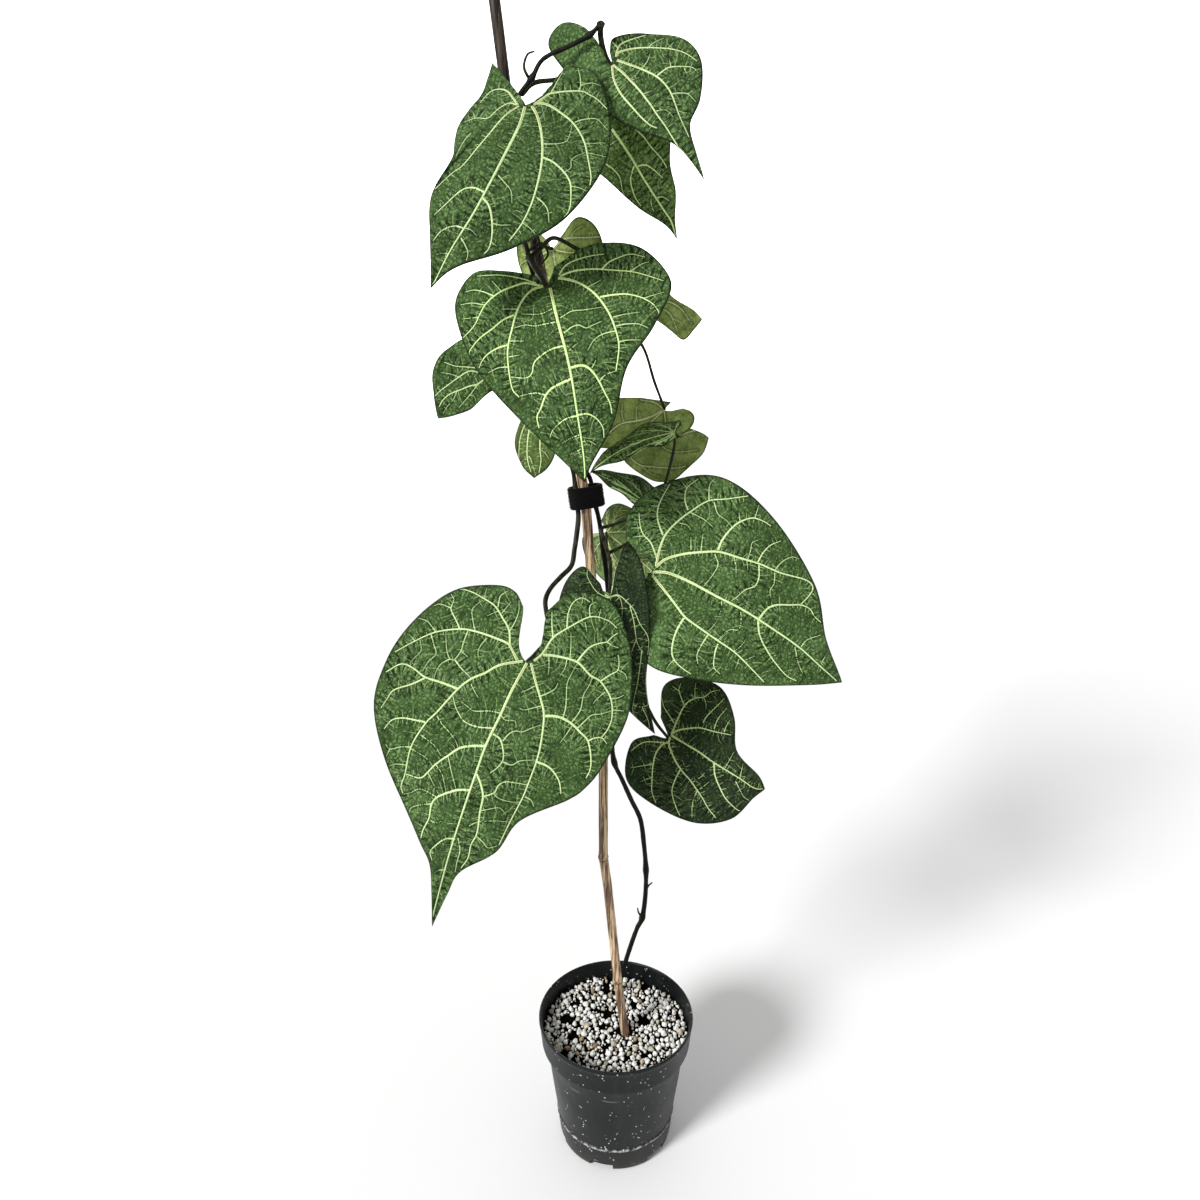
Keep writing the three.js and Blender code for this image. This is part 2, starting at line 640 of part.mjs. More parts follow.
function makeLeaf(leaf) {
  const frame = leafFrame(leaf);
  const turns = leaf.fine ? 26 : 16;
  const rings = leaf.fine ? 5 : 3;
  const vertices = [];
  const triangles = [];
  const faceStart = [];
  for (const offset of [BLADE / 2, -BLADE / 2]) {
    faceStart.push(vertices.length);
    vertices.push(bladePoint(leaf, frame, 0, 0, offset));
    for (let j = 1; j <= rings; j += 1) {
      for (let i = 0; i <= turns; i += 1) {
        vertices.push(bladePoint(leaf, frame, (2 * i) / turns - 1, j / rings, offset));
      }
    }
  }
  const at = (face, ring, i) => faceStart[face] + (ring === 0 ? 0 : 1 + (ring - 1) * (turns + 1) + i);
  for (const face of [0, 1]) {
    const add = (a, b, c) => triangles.push(face === 0 ? [a, b, c] : [a, c, b]);
    for (let i = 0; i < turns; i += 1) {
      add(at(face, 0, 0), at(face, 1, i), at(face, 1, i + 1));
      for (let j = 1; j < rings; j += 1) {
        add(at(face, j, i), at(face, j + 1, i), at(face, j + 1, i + 1));
        add(at(face, j, i), at(face, j + 1, i + 1), at(face, j, i + 1));
      }
    }
  }
  const rim = [];
  for (let j = 0; j < rings; j += 1) rim.push([j, 0]);
  for (let i = 0; i < turns; i += 1) rim.push([rings, i]);
  for (let j = rings; j > 0; j -= 1) rim.push([j, turns]);
  rim.forEach(([ring, i], k) => {
    const [nextRing, nextI] = rim[(k + 1) % rim.length];
    const top = at(0, ring, i);
    const topNext = at(0, nextRing, nextI);
    const low = at(1, ring, i);
    const lowNext = at(1, nextRing, nextI);
    triangles.push([top, low, lowNext], [top, lowNext, topNext]);
  });
  return surfaceOf(vertices, triangles);
}

// The whole plant

const plant = new THREE.Group();

function place(name, geometry, surface) {
  const mesh = new THREE.Mesh(geometry, surface);
  mesh.name = name;
  plant.add(mesh);
}

const rootEnd = STEM_ROUTE[0].map((value, axis) => (axis === 2 ? value - 2 * GAP : value));
const stemHoleRoute = [rootEnd, ...STEM_ROUTE.slice(1, 4)];
const stemHole = toSolid(smoothTube(stemHoleRoute, () => STEM.baseRadius + 2 * GAP, 1, STEM.sides));
const holes = toSolid(caneTube(2 * GAP)).add(stemHole);

place("pot", makePot(), POT_PLASTIC);
place("potting_soil", makeSoil(holes), SOIL_DARK);
place("perlite_layer", makePerlite(holes), PERLITE_WHITE);
place("bamboo_cane", caneTube(0), CANE_TAN);
place("plant_tie", makeTie(), STRAP_BLACK);
place("vine_stem", makeStem(), STEM_DARK);
for (const [name, leaf] of Object.entries(LEAVES)) {
  place(`leaf_${name}`, makeLeaf(leaf), SEEN_FROM_BELOW.has(name) ? LEAF_UNDERSIDE : LEAF_GREEN);
}

export default plant;
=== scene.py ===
# Looks for the potted climbing pipevine: veined leaves, stem, bamboo cane, strap tie, pot, soil and perlite.
# Lengths in the tables are millimetres in the CAD frame. Meshes are made in metres.

import math

import bpy
import numpy as np
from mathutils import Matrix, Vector
from mathutils.kdtree import KDTree


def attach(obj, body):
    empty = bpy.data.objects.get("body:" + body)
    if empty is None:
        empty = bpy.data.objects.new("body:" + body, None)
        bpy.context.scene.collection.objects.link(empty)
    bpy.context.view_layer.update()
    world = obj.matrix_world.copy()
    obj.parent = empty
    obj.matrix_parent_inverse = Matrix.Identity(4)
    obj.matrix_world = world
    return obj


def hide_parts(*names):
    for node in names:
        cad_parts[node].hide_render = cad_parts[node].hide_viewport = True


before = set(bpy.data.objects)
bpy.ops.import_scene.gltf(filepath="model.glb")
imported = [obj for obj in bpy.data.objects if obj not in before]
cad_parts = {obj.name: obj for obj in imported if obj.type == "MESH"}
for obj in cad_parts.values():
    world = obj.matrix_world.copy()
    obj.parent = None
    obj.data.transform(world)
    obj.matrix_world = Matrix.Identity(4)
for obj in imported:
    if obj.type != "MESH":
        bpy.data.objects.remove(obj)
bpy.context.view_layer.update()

MM = 0.001

# Camera, fitted to the photograph's 1200 pixel frame

FRAME_SIZE = 1200
FOCAL = 901
CAMERA_PLACE = np.array([-12.4, -575.6, 628.5])
CAMERA_PITCH = math.radians(17.44)
SENSOR = 36

# Leaves, as in the CAD. A blade is drawn out from its stalk in rays that spread like a fan, arches from
# stalk to tip, cups, folds at its midrib and waves along its edge.

FAN = 2.2
FAN_SHARE = 0.7
LOBE_ARCH = 0.35
FOLD_SOFTNESS = 8
EDGE_WAVES = 2.5
HALF_THICKNESS = 0.25

# Stalk end, tip and the way the first side faces, then the edge of each half from stalk to tip
LEAVES = {
    "crown_left": {
        "base": (-53, -24, 739), "tip": (-103, -66, 643), "face": (-0.1, -1, 0.3),
        "arch": 10, "cup": -0.08, "fold": (-0.5, -0.12), "wave": 2,
        "left": [(38, -28), (34, -16), (31, -4), (33, 9), (33, 21), (28, 33), (22, 44), (21.5, 51),
                 (24, 62), (24, 69), (20, 78), (12, 91), (4, 106)],
        "right": [(8, -35), (25, -37), (43, -17), (54, 16), (50, 51), (31, 79), (10, 101)],
    },
    "crown_right": {
        "base": (-6, -4, 763), "tip": (47, -14, 703), "face": (0, -1, 0.45),
        "arch": 8, "cup": -0.06, "fold": (-0.9, -0.08), "wave": 2,
        "left": [(-2.5, -10), (-4, -26), (3, -38), (14, -36), (18, -16), (18, 10), (12, 37), (4, 57)],
        "right": [(5, -7), (12, -11), (29, -3), (42, 12), (40, 30), (26, 46), (11, 54), (3, 69)],
    },
    "crown_back": {
        "base": (-21, 24, 756), "tip": (35, 20, 674), "face": (0, -1, 0.25),
        "arch": 8, "cup": -0.1, "fold": (-0.1, -0.1), "fan": (1.5, 2.2), "wave": 2,
        "left": [(4, -9), (15, -11), (27, 6), (27, 26), (19, 47), (11, 71), (3, 88)],
        "right": [(6, -7), (21, -3), (34, 18), (31, 42), (19, 61), (14, 76), (4, 90)],
    },
    "middle_front": {
        "base": (-43, -32, 645), "tip": (-21, -64, 538), "face": (-0.05, -1, 0.3),
        "arch": 12, "cup": -0.12, "fold": (-0.12, -0.12), "wave": 2.5,
        "left": [(5, -8), (22, -15), (41, -20), (54, -7), (54, 14), (47, 42), (28, 74), (9, 101)],
        "right": [(7, -11), (30, -20), (58, -15), (71, 9), (56, 35), (36, 56), (23, 84), (6, 105)],
    },
    "low_left": {
        "base": (-57, -64, 428), "tip": (-115, -110, 273), "face": (-0.05, -1, 0.4),
        "arch": 10, "cup": -0.06, "fold": (-0.06, -0.1), "fan": (1.6, 1.9), "wave": 3,
        "left": [(14, -31), (22, -38), (34, -38), (56, -28), (70, -12), (79, 8), (82, 30), (79, 56),
                 (62, 84), (38, 110), (24, 124), (13, 134), (6, 151)],
        "right": [(1, -34), (12, -50), (36, -52), (54, -33), (64, -11), (69, 12), (65, 42), (60, 57),
                 (52, 69), (29, 91), (22, 113), (6, 131), (3, 147)],
    },
    "low_right": {
        "base": (22, -28, 476), "tip": (140, -50, 409), "face": (0.05, -1, 0.3),
        "arch": 10, "cup": -0.1, "fold": (-0.06, -0.08), "wave": 3,
        "left": [(8, -6), (24, -10), (42, 3), (53, 28), (45, 58), (32, 87), (13, 118)],
        "right": [(8, -26), (25, -33), (50, -25), (73, 4), (67, 46), (44, 91), (17, 114)],
    },
    "small_right": {
        "base": (35, -8, 350), "tip": (101, -24, 319), "face": (0, -1, 0.55),
        "arch": 5, "cup": -0.1, "fold": (-0.1, -0.1), "wave": 2,
        "left": [(3, -10), (15, -21), (38, -13), (45, 9), (43, 41), (29, 63), (9, 70)],
        "right": [(10, -11), (31, -19), (45, -7), (49, 16), (34, 34), (14, 46), (6, 66)],
    },
    "low_centre": {
        "base": (-7, -43, 462), "tip": (23, -50, 373), "face": (-0.1, -1, 0.35),
        "arch": 5, "cup": -0.1, "fold": (-0.15, -0.15), "wave": 2,
        "left": [(2, -11), (9, -24), (24, -16), (33, 2), (26, 29), (14, 64)],
        "right": [(9, -15), (21, -29), (26, -14), (23, 9), (16, 33), (5, 60)],
    },
    "middle_left": {
        "base": (-77, 12, 599), "tip": (-115, 4, 567), "face": (-0.15, -1, 0.15),
        "arch": 4, "cup": -0.1, "fold": (-0.08, -0.08), "wave": 1.5,
        "left": [(9, -5), (20, -2), (28, 6), (29, 15), (28, 25), (23, 35), (14, 42), (4, 48)],
        "right": [(5, -5), (10, -1), (12, 5), (10, 13), (10, 21), (10, 29), (8, 36), (4, 45)],
    },
    "small_hanging": {
        "base": (-50, 0, 572), "tip": (-54, -8, 531), "face": (-0.2, -1, 0.15),
        "arch": 3, "cup": -0.1, "fold": (-0.1, -0.1), "wave": 1,
        "left": [(3, -6), (10, 0), (14, 20), (9, 34)],
        "right": [(3, -6), (9, 0), (13, 22), (8, 35)],
    },
    "middle_right": {
        "base": (2, 16, 650), "tip": (51, 8, 627), "face": (0.15, -1, 0.2),
        "arch": 3, "cup": 0.08, "fold": (-0.1, -0.1), "wave": 1.5,
        "left": [(6, -4), (11, 5), (13, 16), (13, 25), (14.5, 34), (15.5, 42), (16, 50), (8, 53)],
        "right": [(5, -5), (9, 0), (10, 8), (8, 16), (6, 24), (4, 31), (3, 39), (2, 47)],
    },
    "back_right": {
        "base": (9, 34, 545), "tip": (59, 20, 553), "face": (0.1, 1, -0.35),
        "arch": 4, "cup": -0.1, "fold": (-0.08, -0.08), "wave": 1.5,
        "left": [(4, -6), (9, -5), (13, 2), (15, 12), (14, 22), (12, 31), (8, 40), (4, 48)],
        "right": [(4, -8), (11, -4), (19, 5), (25, 15), (25, 26), (20, 35), (15, 42), (9, 48)],
    },
    "back_upper": {
        "base": (30, 26, 570), "tip": (-22, 14, 548), "face": (0.05, 1, -0.3),
        "arch": 4, "cup": -0.1, "fold": (-0.08, -0.08), "wave": 1.5,
        "left": [(4, -11), (8, -15), (13, -15), (18, -10), (20, 2), (19, 15), (15, 27), (9, 39)],
        "right": [(3, -6), (6, -2), (11, 6), (16, 14), (20, 22), (22, 31), (18, 40), (9, 48)],
    },
    "folded": {
        "base": (35, 6, 558), "tip": (-19, 2, 532), "face": (0.15, -0.45, 0.9),
        "arch": 6, "cup": -0.1, "fold": (-0.3, -0.3), "wave": 1.5,
        "left": [(5, -7), (14, -6), (19, 12), (13, 34)],
        "right": [(5, -2), (8, 8), (7, 22), (6, 40)],
    },
    "edge_on": {
        "base": (18, 14, 511), "tip": (-19, 12, 532), "face": (-0.1, -0.6, 0.8),
        "arch": 3, "cup": -0.1, "fold": (-0.2, -0.2), "wave": 1,
        "left": [(6, -9), (18, -8), (17, 9), (9, 28)],
        "right": [(3, -3), (6, 5), (6, 18), (4, 30)],
    },
    "back_pale": {
        "base": (-8, 34, 486), "tip": (31, 24, 455), "face": (0, 1, -0.3),
        "arch": 4, "cup": -0.1, "fold": (-0.08, -0.08), "wave": 1.5,
        "left": [(4, -8), (14, -10), (22, -4), (24, 12), (14, 35)],
        "right": [(6, -6), (14, -10), (24, 4), (26, 26), (13, 43)],
    },
    "back_top": {
        "base": (-42, 34, 669), "tip": (-38, 24, 634), "face": (0.1, 1, -0.25),
        "arch": 3, "cup": -0.1, "fold": (-0.08, -0.08), "wave": 1.5,
        "left": [(5, -6), (17, -16), (29, -8), (31, 8), (18, 26)],
        "right": [(3, -6), (12, -15), (22, -6), (22, 10), (13, 27)],
    },
}

# Leaves whose pale lower side faces the camera
SEEN_FROM_BELOW = ("small_hanging", "middle_right", "back_right", "back_upper", "back_pale", "back_top")
# Those of them whose face in the table above is that lower side
TURNED_OVER = ("small_hanging", "middle_right")

# Veins read off the photograph: start width in mm, then places in its 1200 pixel frame.
# They are laid on the blade where the camera's ray meets it.
VEINS = {
    "crown_left": [
        (2.0, (525, 107), (519, 126), (505, 154), (491, 181), (473, 214), (450, 251), (431, 289)),
        (2.0, (532, 106), (538, 118), (542, 138), (542, 160), (538, 182), (531, 205), (521, 225),
         (509, 241)),
        (1.6, (542, 157), (553, 162), (564, 172), (570, 182), (571, 193), (570, 207), (565, 219)),
        (1.9, (537, 103), (548, 105), (561, 113), (574, 124), (584, 141), (588, 158), (591, 176),
         (590, 185)),
        (1.7, (534, 105), (545, 97), (553, 93), (579, 91), (590, 95), (598, 100), (607, 109)),
        (1.5, (519, 106), (508, 113), (499, 122), (489, 134), (478, 147), (463, 165), (451, 174),
         (432, 192)),
        (1.3, (517, 105), (509, 103), (498, 109), (488, 118), (476, 118), (464, 122)),
        (1.5, (518, 105), (513, 98), (507, 91), (499, 89), (490, 92), (480, 103)),
        (1.5, (484, 192), (475, 188), (467, 188), (459, 192), (449, 201), (434, 215)),
        (1.3, (463, 228), (455, 226), (447, 228), (440, 232), (433, 241)),
        (0.8, (449, 254), (442, 253), (436, 255)),
        (1.6, (483, 198), (489, 206), (492, 220), (492, 236), (489, 248), (484, 254)),
        (1.0, (498, 175), (505, 183), (511, 191), (512, 203)),
        (1.0, (461, 238), (465, 245), (468, 253), (466, 262)),
        (0.7, (465, 228), (471, 230), (477, 236)),
        (0.8, (492, 223), (499, 225), (511, 225)),
        (0.7, (491, 242), (497, 246)),
        (0.9, (543, 144), (555, 144), (565, 142), (569, 137), (572, 126)),
        (1.1, (536, 197), (544, 204), (548, 211), (549, 223)),
        (0.8, (523, 223), (530, 228), (535, 234)),
        (0.9, (571, 186), (580, 188), (589, 193)),
        (0.8, (565, 172), (571, 167), (572, 159), (586, 152)),
        (1.0, (575, 122), (586, 119), (597, 119), (603, 125), (608, 130)),
        (0.8, (585, 144), (597, 143), (606, 143)),
        (0.8, (588, 153), (598, 155), (606, 157)),
        (0.9, (579, 91), (582, 85), (592, 83), (601, 86)),
        (0.9, (581, 86), (580, 76), (578, 68)),
        (1.0, (551, 93), (557, 82), (563, 71)),
        (0.8, (475, 118), (473, 112)),
        (1.0, (471, 133), (464, 141), (456, 156)),
    ],
    "crown_right": [
        (1.8, (613, 65), (622, 72), (631, 81), (640, 91), (650, 104), (658, 116), (666, 127), (683, 154),
         (700, 175)),
        (1.9, (617, 60), (625, 63), (639, 68), (654, 75), (662, 81), (670, 91), (675, 103), (680, 117),
         (689, 137)),
        (1.6, (616, 57), (620, 52), (638, 48), (661, 48), (676, 50), (687, 54), (697, 61)),
        (1.3, (616, 55), (620, 45), (630, 40), (646, 35)),
        (1.4, (612, 66), (614, 80), (621, 94), (632, 107), (641, 117), (650, 125), (657, 128)),
        (0.9, (618, 48), (611, 41), (608, 38)),
        (0.9, (649, 47), (655, 42), (664, 38)),
        (0.7, (668, 48), (674, 42)),
        (0.8, (642, 68), (647, 62), (650, 54)),
        (1.2, (657, 76), (663, 71), (671, 67), (691, 67), (698, 73)),
        (0.7, (684, 68), (688, 76)),
        (0.7, (671, 67), (669, 58)),
        (1.1, (672, 94), (679, 93), (688, 94), (696, 102)),
        (0.7, (688, 94), (694, 89)),
        (0.8, (679, 111), (687, 113)),
        (0.8, (656, 111), (666, 110), (673, 117)),
        (0.7, (632, 80), (640, 77)),
        (0.7, (643, 94), (652, 91)),
    ],
    "crown_back": [
        (2.0, (612, 129), (629, 154), (645, 181), (663, 209), (671, 221), (676, 238)),
        (1.4, (611, 114), (624, 121), (641, 134), (651, 147), (661, 158), (667, 168)),
        (0.9, (623, 120), (639, 121)),
        (1.3, (638, 166), (646, 165), (654, 170), (663, 178)),
        (1.2, (634, 166), (631, 176), (631, 184), (635, 197), (641, 206)),
        (1.1, (606, 164), (614, 170), (620, 178), (622, 189), (625, 197)),
        (0.9, (655, 198), (663, 197), (669, 201)),
        (0.8, (652, 194), (651, 203), (654, 212)),
        (0.8, (610, 145), (617, 140)),
        (0.7, (621, 142), (633, 141)),
    ],
    "middle_front": [
        (2.1, (550, 288), (557, 318), (566, 352), (572, 380), (577, 412), (581, 437), (584, 460),
         (585, 480)),
        (2.0, (558, 278), (570, 280), (583, 285), (597, 296), (609, 313), (616, 331), (619, 347),
         (616, 371)),
        (1.5, (560, 276), (574, 271), (592, 269), (612, 270), (634, 272), (652, 277), (664, 281)),
        (1.2, (559, 275), (565, 266), (576, 260), (590, 256), (604, 254)),
        (1.8, (543, 286), (532, 290), (524, 298), (517, 311), (512, 329), (508, 347), (508, 363),
         (512, 388), (519, 397)),
        (1.6, (541, 286), (527, 283), (517, 285), (502, 291), (493, 297), (485, 305), (479, 316),
         (474, 326), (463, 338)),
        (1.0, (536, 283), (519, 278), (499, 275), (477, 276)),
        (0.8, (576, 259), (576, 254)),
        (1.2, (602, 269), (609, 262), (620, 257), (631, 254), (645, 257)),
        (0.9, (631, 271), (642, 264), (649, 262)),
        (0.8, (588, 287), (601, 280)),
        (1.6, (600, 297), (612, 295), (625, 294), (637, 296), (647, 300), (655, 306), (660, 314)),
        (0.8, (644, 298), (664, 292)),
        (0.8, (613, 317), (626, 314), (640, 312)),
        (1.1, (616, 326), (626, 324), (639, 324), (648, 328)),
        (0.9, (619, 342), (628, 340), (641, 340)),
        (1.0, (615, 331), (603, 334), (594, 340), (588, 350)),
        (0.9, (560, 318), (572, 311), (583, 310), (602, 307)),
        (1.1, (564, 333), (572, 327), (579, 325), (586, 328), (593, 325), (602, 321)),
        (0.8, (568, 351), (578, 343)),
        (1.9, (571, 368), (577, 366), (585, 366), (592, 371), (599, 381), (605, 393), (610, 403),
         (612, 414)),
        (0.8, (592, 368), (596, 360)),
        (1.0, (600, 381), (605, 375), (616, 371)),
        (1.3, (578, 415), (588, 414), (597, 419), (603, 428), (604, 438)),
        (1.3, (577, 416), (568, 418), (560, 423), (553, 430), (550, 437)),
        (0.9, (581, 442), (589, 441), (596, 445)),
        (0.9, (579, 435), (569, 439), (562, 444)),
        (0.8, (581, 449), (570, 455)),
        (1.9, (571, 379), (562, 383), (551, 389), (545, 397), (541, 408), (537, 417), (539, 428)),
        (1.1, (545, 395), (535, 393), (520, 396)),
        (1.3, (563, 346), (552, 349), (542, 355), (534, 363), (532, 373), (526, 378), (511, 377)),
        (1.1, (555, 322), (545, 324), (535, 326), (525, 325), (514, 328)),
        (0.8, (552, 309), (540, 314), (521, 314)),
        (1.5, (514, 315), (503, 320), (492, 329), (480, 338), (471, 349), (467, 358)),
        (0.9, (517, 309), (501, 309)),
        (1.3, (508, 345), (498, 348), (488, 354), (482, 361), (479, 368)),
        (1.0, (508, 367), (498, 368), (488, 373)),
        (0.8, (510, 341), (525, 341)),
        (0.8, (509, 357), (520, 355)),
        (1.1, (494, 296), (484, 292), (474, 290), (465, 292)),
        (1.0, (485, 305), (472, 303), (460, 305)),
        (0.9, (479, 317), (462, 319)),
        (0.8, (501, 291), (492, 281)),
    ],
    "low_left": [
        (2.1, (527, 663), (512, 690), (500, 716), (486, 745), (476, 773), (464, 808), (449, 855),
         (437, 900), (432, 920)),
        (1.9, (523, 661), (500, 665), (485, 673), (471, 679), (458, 689), (437, 712), (425, 724),
         (411, 747), (405, 774), (401, 786), (403, 793)),
        (1.8, (517, 660), (511, 648), (507, 643), (490, 636), (474, 631), (460, 629), (436, 632),
         (415, 641), (395, 652)),
        (1.6, (510, 648), (509, 630), (502, 617), (495, 606), (483, 598), (472, 592), (459, 588)),
        (1.8, (531, 663), (536, 683), (541, 700), (544, 716), (541, 743), (536, 763), (527, 787),
         (522, 799), (510, 822), (499, 845)),
        (1.7, (534, 661), (543, 653), (553, 638), (568, 628), (590, 617), (607, 620), (617, 628)),
        (1.9, (543, 655), (556, 656), (577, 662), (590, 675), (601, 682), (611, 699), (612, 717),
         (608, 729), (602, 737)),
        (1.9, (458, 689), (443, 683), (425, 677), (413, 668), (401, 664), (386, 672)),
        (1.4, (425, 678), (412, 684), (394, 690), (387, 699), (381, 708)),
        (1.6, (425, 722), (415, 720), (403, 718), (392, 720), (384, 729)),
        (1.1, (411, 747), (400, 747), (390, 749), (385, 743)),
        (0.8, (390, 749), (386, 757)),
        (0.9, (406, 765), (396, 764), (389, 766)),
        (0.8, (403, 781), (393, 781)),
        (1.2, (460, 629), (456, 620), (451, 609), (454, 600), (451, 594)),
        (0.9, (451, 608), (440, 604), (434, 606)),
        (1.0, (436, 632), (430, 624), (427, 621), (419, 618)),
        (0.9, (415, 641), (408, 633)),
        (1.1, (468, 631), (464, 641), (461, 651), (455, 659), (450, 659), (447, 651), (446, 640),
         (446, 631)),
        (1.2, (455, 660), (462, 669), (471, 678)),
        (0.9, (461, 651), (468, 657)),
        (0.9, (450, 659), (441, 664), (436, 672), (434, 679)),
        (0.9, (487, 638), (481, 645), (478, 652), (479, 659)),
        (0.9, (475, 631), (473, 621), (472, 611), (475, 606), (483, 600)),
        (1.0, (431, 634), (434, 645), (436, 654), (428, 662), (422, 672)),
        (0.8, (420, 640), (421, 651), (414, 658), (410, 664)),
        (1.1, (498, 607), (500, 597), (503, 594), (508, 591)),
        (0.9, (502, 613), (507, 607), (511, 602)),
        (0.9, (510, 631), (516, 620), (519, 610), (519, 600)),
        (0.8, (484, 599), (487, 588)),
        (0.7, (498, 611), (487, 616)),
        (1.1, (500, 713), (488, 711), (474, 711), (467, 706), (460, 701)),
        (1.3, (494, 728), (478, 727), (465, 722), (459, 714), (455, 705), (453, 696)),
        (2.0, (485, 746), (472, 746), (460, 748), (449, 755), (436, 764), (428, 772), (420, 778),
         (406, 774)),
        (1.9, (470, 790), (458, 790), (447, 793), (436, 798), (431, 806), (429, 818), (423, 830),
         (421, 838)),
        (1.1, (431, 804), (420, 805), (411, 808), (408, 816)),
        (1.0, (436, 797), (428, 792), (419, 789), (410, 793), (404, 794)),
        (0.9, (430, 820), (436, 823), (442, 821)),
        (1.3, (455, 839), (445, 839), (435, 846), (430, 852), (432, 860)),
        (1.0, (447, 870), (440, 870), (434, 873)),
        (1.0, (437, 716), (442, 724), (450, 733), (455, 740), (458, 747)),
        (0.9, (421, 735), (430, 742), (436, 747), (441, 756)),
        (0.8, (411, 749), (422, 755), (428, 760), (433, 766)),
        (0.9, (448, 756), (451, 770), (456, 789)),
        (0.8, (436, 765), (442, 774), (444, 782), (446, 792)),
        (0.8, (428, 773), (434, 785), (439, 795)),
        (0.9, (471, 684), (476, 694), (480, 700)),
        (0.9, (501, 715), (505, 720), (515, 721), (516, 728)),
        (1.4, (493, 734), (500, 739), (503, 749), (503, 760), (497, 768), (490, 773)),
        (1.1, (503, 741), (509, 734), (516, 731), (522, 732), (532, 728), (541, 725)),
        (1.1, (503, 762), (512, 765), (520, 761), (536, 760)),
        (1.7, (477, 774), (481, 785), (483, 797), (480, 812), (478, 828), (476, 836), (471, 845),
         (468, 858), (461, 868)),
        (1.2, (482, 797), (494, 793), (498, 786), (505, 782), (516, 783), (527, 785)),
        (1.0, (476, 836), (483, 842), (488, 848), (497, 846)),
        (1.0, (458, 838), (460, 850), (457, 862), (455, 872)),
        (0.8, (494, 794), (500, 799), (511, 802), (520, 802)),
        (0.8, (469, 826), (478, 822), (495, 821), (510, 822)),
        (0.8, (480, 811), (490, 809), (500, 808), (506, 815)),
        (0.8, (535, 686), (527, 690), (520, 693)),
        (1.0, (541, 706), (533, 708), (524, 710), (519, 708)),
        (1.1, (541, 696), (548, 693), (555, 689), (558, 683)),
        (2.0, (545, 716), (553, 716), (562, 718), (572, 724), (581, 733), (588, 741), (591, 758),
         (590, 770), (586, 778)),
        (1.2, (588, 741), (595, 738), (602, 738), (607, 744)),
        (1.0, (563, 718), (566, 705), (567, 685), (571, 675), (577, 664)),
        (1.0, (572, 722), (580, 711), (582, 703), (584, 694), (590, 684), (592, 677)),
        (1.1, (578, 728), (586, 720), (592, 715), (601, 714), (611, 711)),
        (0.8, (572, 726), (566, 735), (560, 743)),
        (1.8, (537, 762), (545, 765), (552, 770), (559, 781), (561, 794)),
        (1.0, (525, 797), (531, 800), (534, 807)),
        (1.6, (577, 662), (585, 652), (592, 646), (601, 643), (607, 642), (612, 637), (618, 633)),
        (1.0, (607, 642), (613, 646), (619, 648)),
        (1.2, (601, 681), (610, 675), (618, 670), (619, 660), (618, 655)),
        (0.9, (618, 670), (625, 674), (627, 680)),
        (1.0, (611, 699), (618, 698), (624, 695)),
        (0.9, (612, 710), (624, 711)),
        (0.8, (549, 656), (549, 668), (548, 675)),
        (0.8, (567, 659), (565, 668), (560, 676)),
        (0.8, (605, 692), (597, 699), (593, 704)),
        (0.8, (570, 658), (571, 645), (571, 632)),
        (1.2, (553, 638), (552, 625), (552, 612)),
        (1.2, (567, 629), (568, 615), (571, 606), (576, 600), (583, 598), (590, 602)),
        (1.1, (590, 617), (590, 606), (596, 602)),
        (0.7, (585, 622), (587, 632)),
        (0.7, (599, 617), (601, 609)),
    ],
    "low_right": [
        (2.2, (651, 572), (668, 573), (690, 582), (716, 596), (745, 611), (776, 631), (800, 648),
         (821, 667), (838, 682)),
        (2.1, (656, 567), (666, 559), (684, 554), (704, 552), (720, 552), (740, 558), (760, 564),
         (781, 573), (806, 580), (813, 588), (808, 597), (801, 604)),
        (1.9, (656, 566), (660, 548), (666, 534), (677, 522), (690, 512), (708, 501), (726, 499),
         (748, 496)),
        (1.5, (663, 535), (658, 521), (658, 508), (663, 496), (670, 484)),
        (0.8, (658, 506), (651, 506)),
        (1.4, (657, 558), (651, 543), (643, 534), (640, 524), (639, 513)),
        (0.8, (641, 528), (631, 528)),
        (0.8, (643, 536), (633, 537)),
        (1.3, (688, 510), (685, 500), (687, 488), (698, 479)),
        (0.9, (687, 488), (682, 482)),
        (1.0, (709, 500), (709, 491), (710, 484), (715, 479)),
        (0.9, (691, 513), (700, 517), (706, 521), (713, 527)),
        (0.8, (679, 523), (687, 525), (691, 530)),
        (0.9, (714, 502), (718, 514), (726, 520), (732, 527)),
        (1.8, (718, 550), (723, 539), (733, 527), (742, 521), (753, 518), (763, 521), (771, 526)),
        (0.8, (755, 518), (759, 505)),
        (0.8, (740, 521), (739, 513)),
        (1.2, (758, 562), (763, 553), (771, 545), (781, 541)),
        (0.9, (748, 559), (751, 549), (752, 543), (758, 540)),
        (1.1, (775, 570), (782, 562), (792, 557), (799, 559)),
        (0.9, (701, 551), (703, 534)),
        (0.8, (691, 550), (691, 537)),
        (1.1, (715, 554), (718, 565), (712, 576), (704, 586)),
        (1.0, (734, 557), (736, 567), (736, 577)),
        (1.2, (759, 565), (759, 577), (755, 586), (745, 590), (737, 597), (731, 601)),
        (0.9, (775, 571), (774, 584), (770, 591), (772, 606)),
        (0.7, (747, 561), (748, 571)),
        (1.7, (759, 619), (767, 609), (777, 605), (790, 605), (801, 605), (810, 609), (815, 617),
         (822, 623)),
        (1.0, (801, 647), (807, 640), (821, 635)),
        (0.7, (821, 664), (827, 653)),
        (1.5, (758, 620), (760, 636), (768, 652), (777, 665), (787, 676), (797, 681)),
        (1.1, (795, 647), (798, 662), (803, 674)),
        (0.9, (722, 600), (721, 610), (717, 621), (708, 632)),
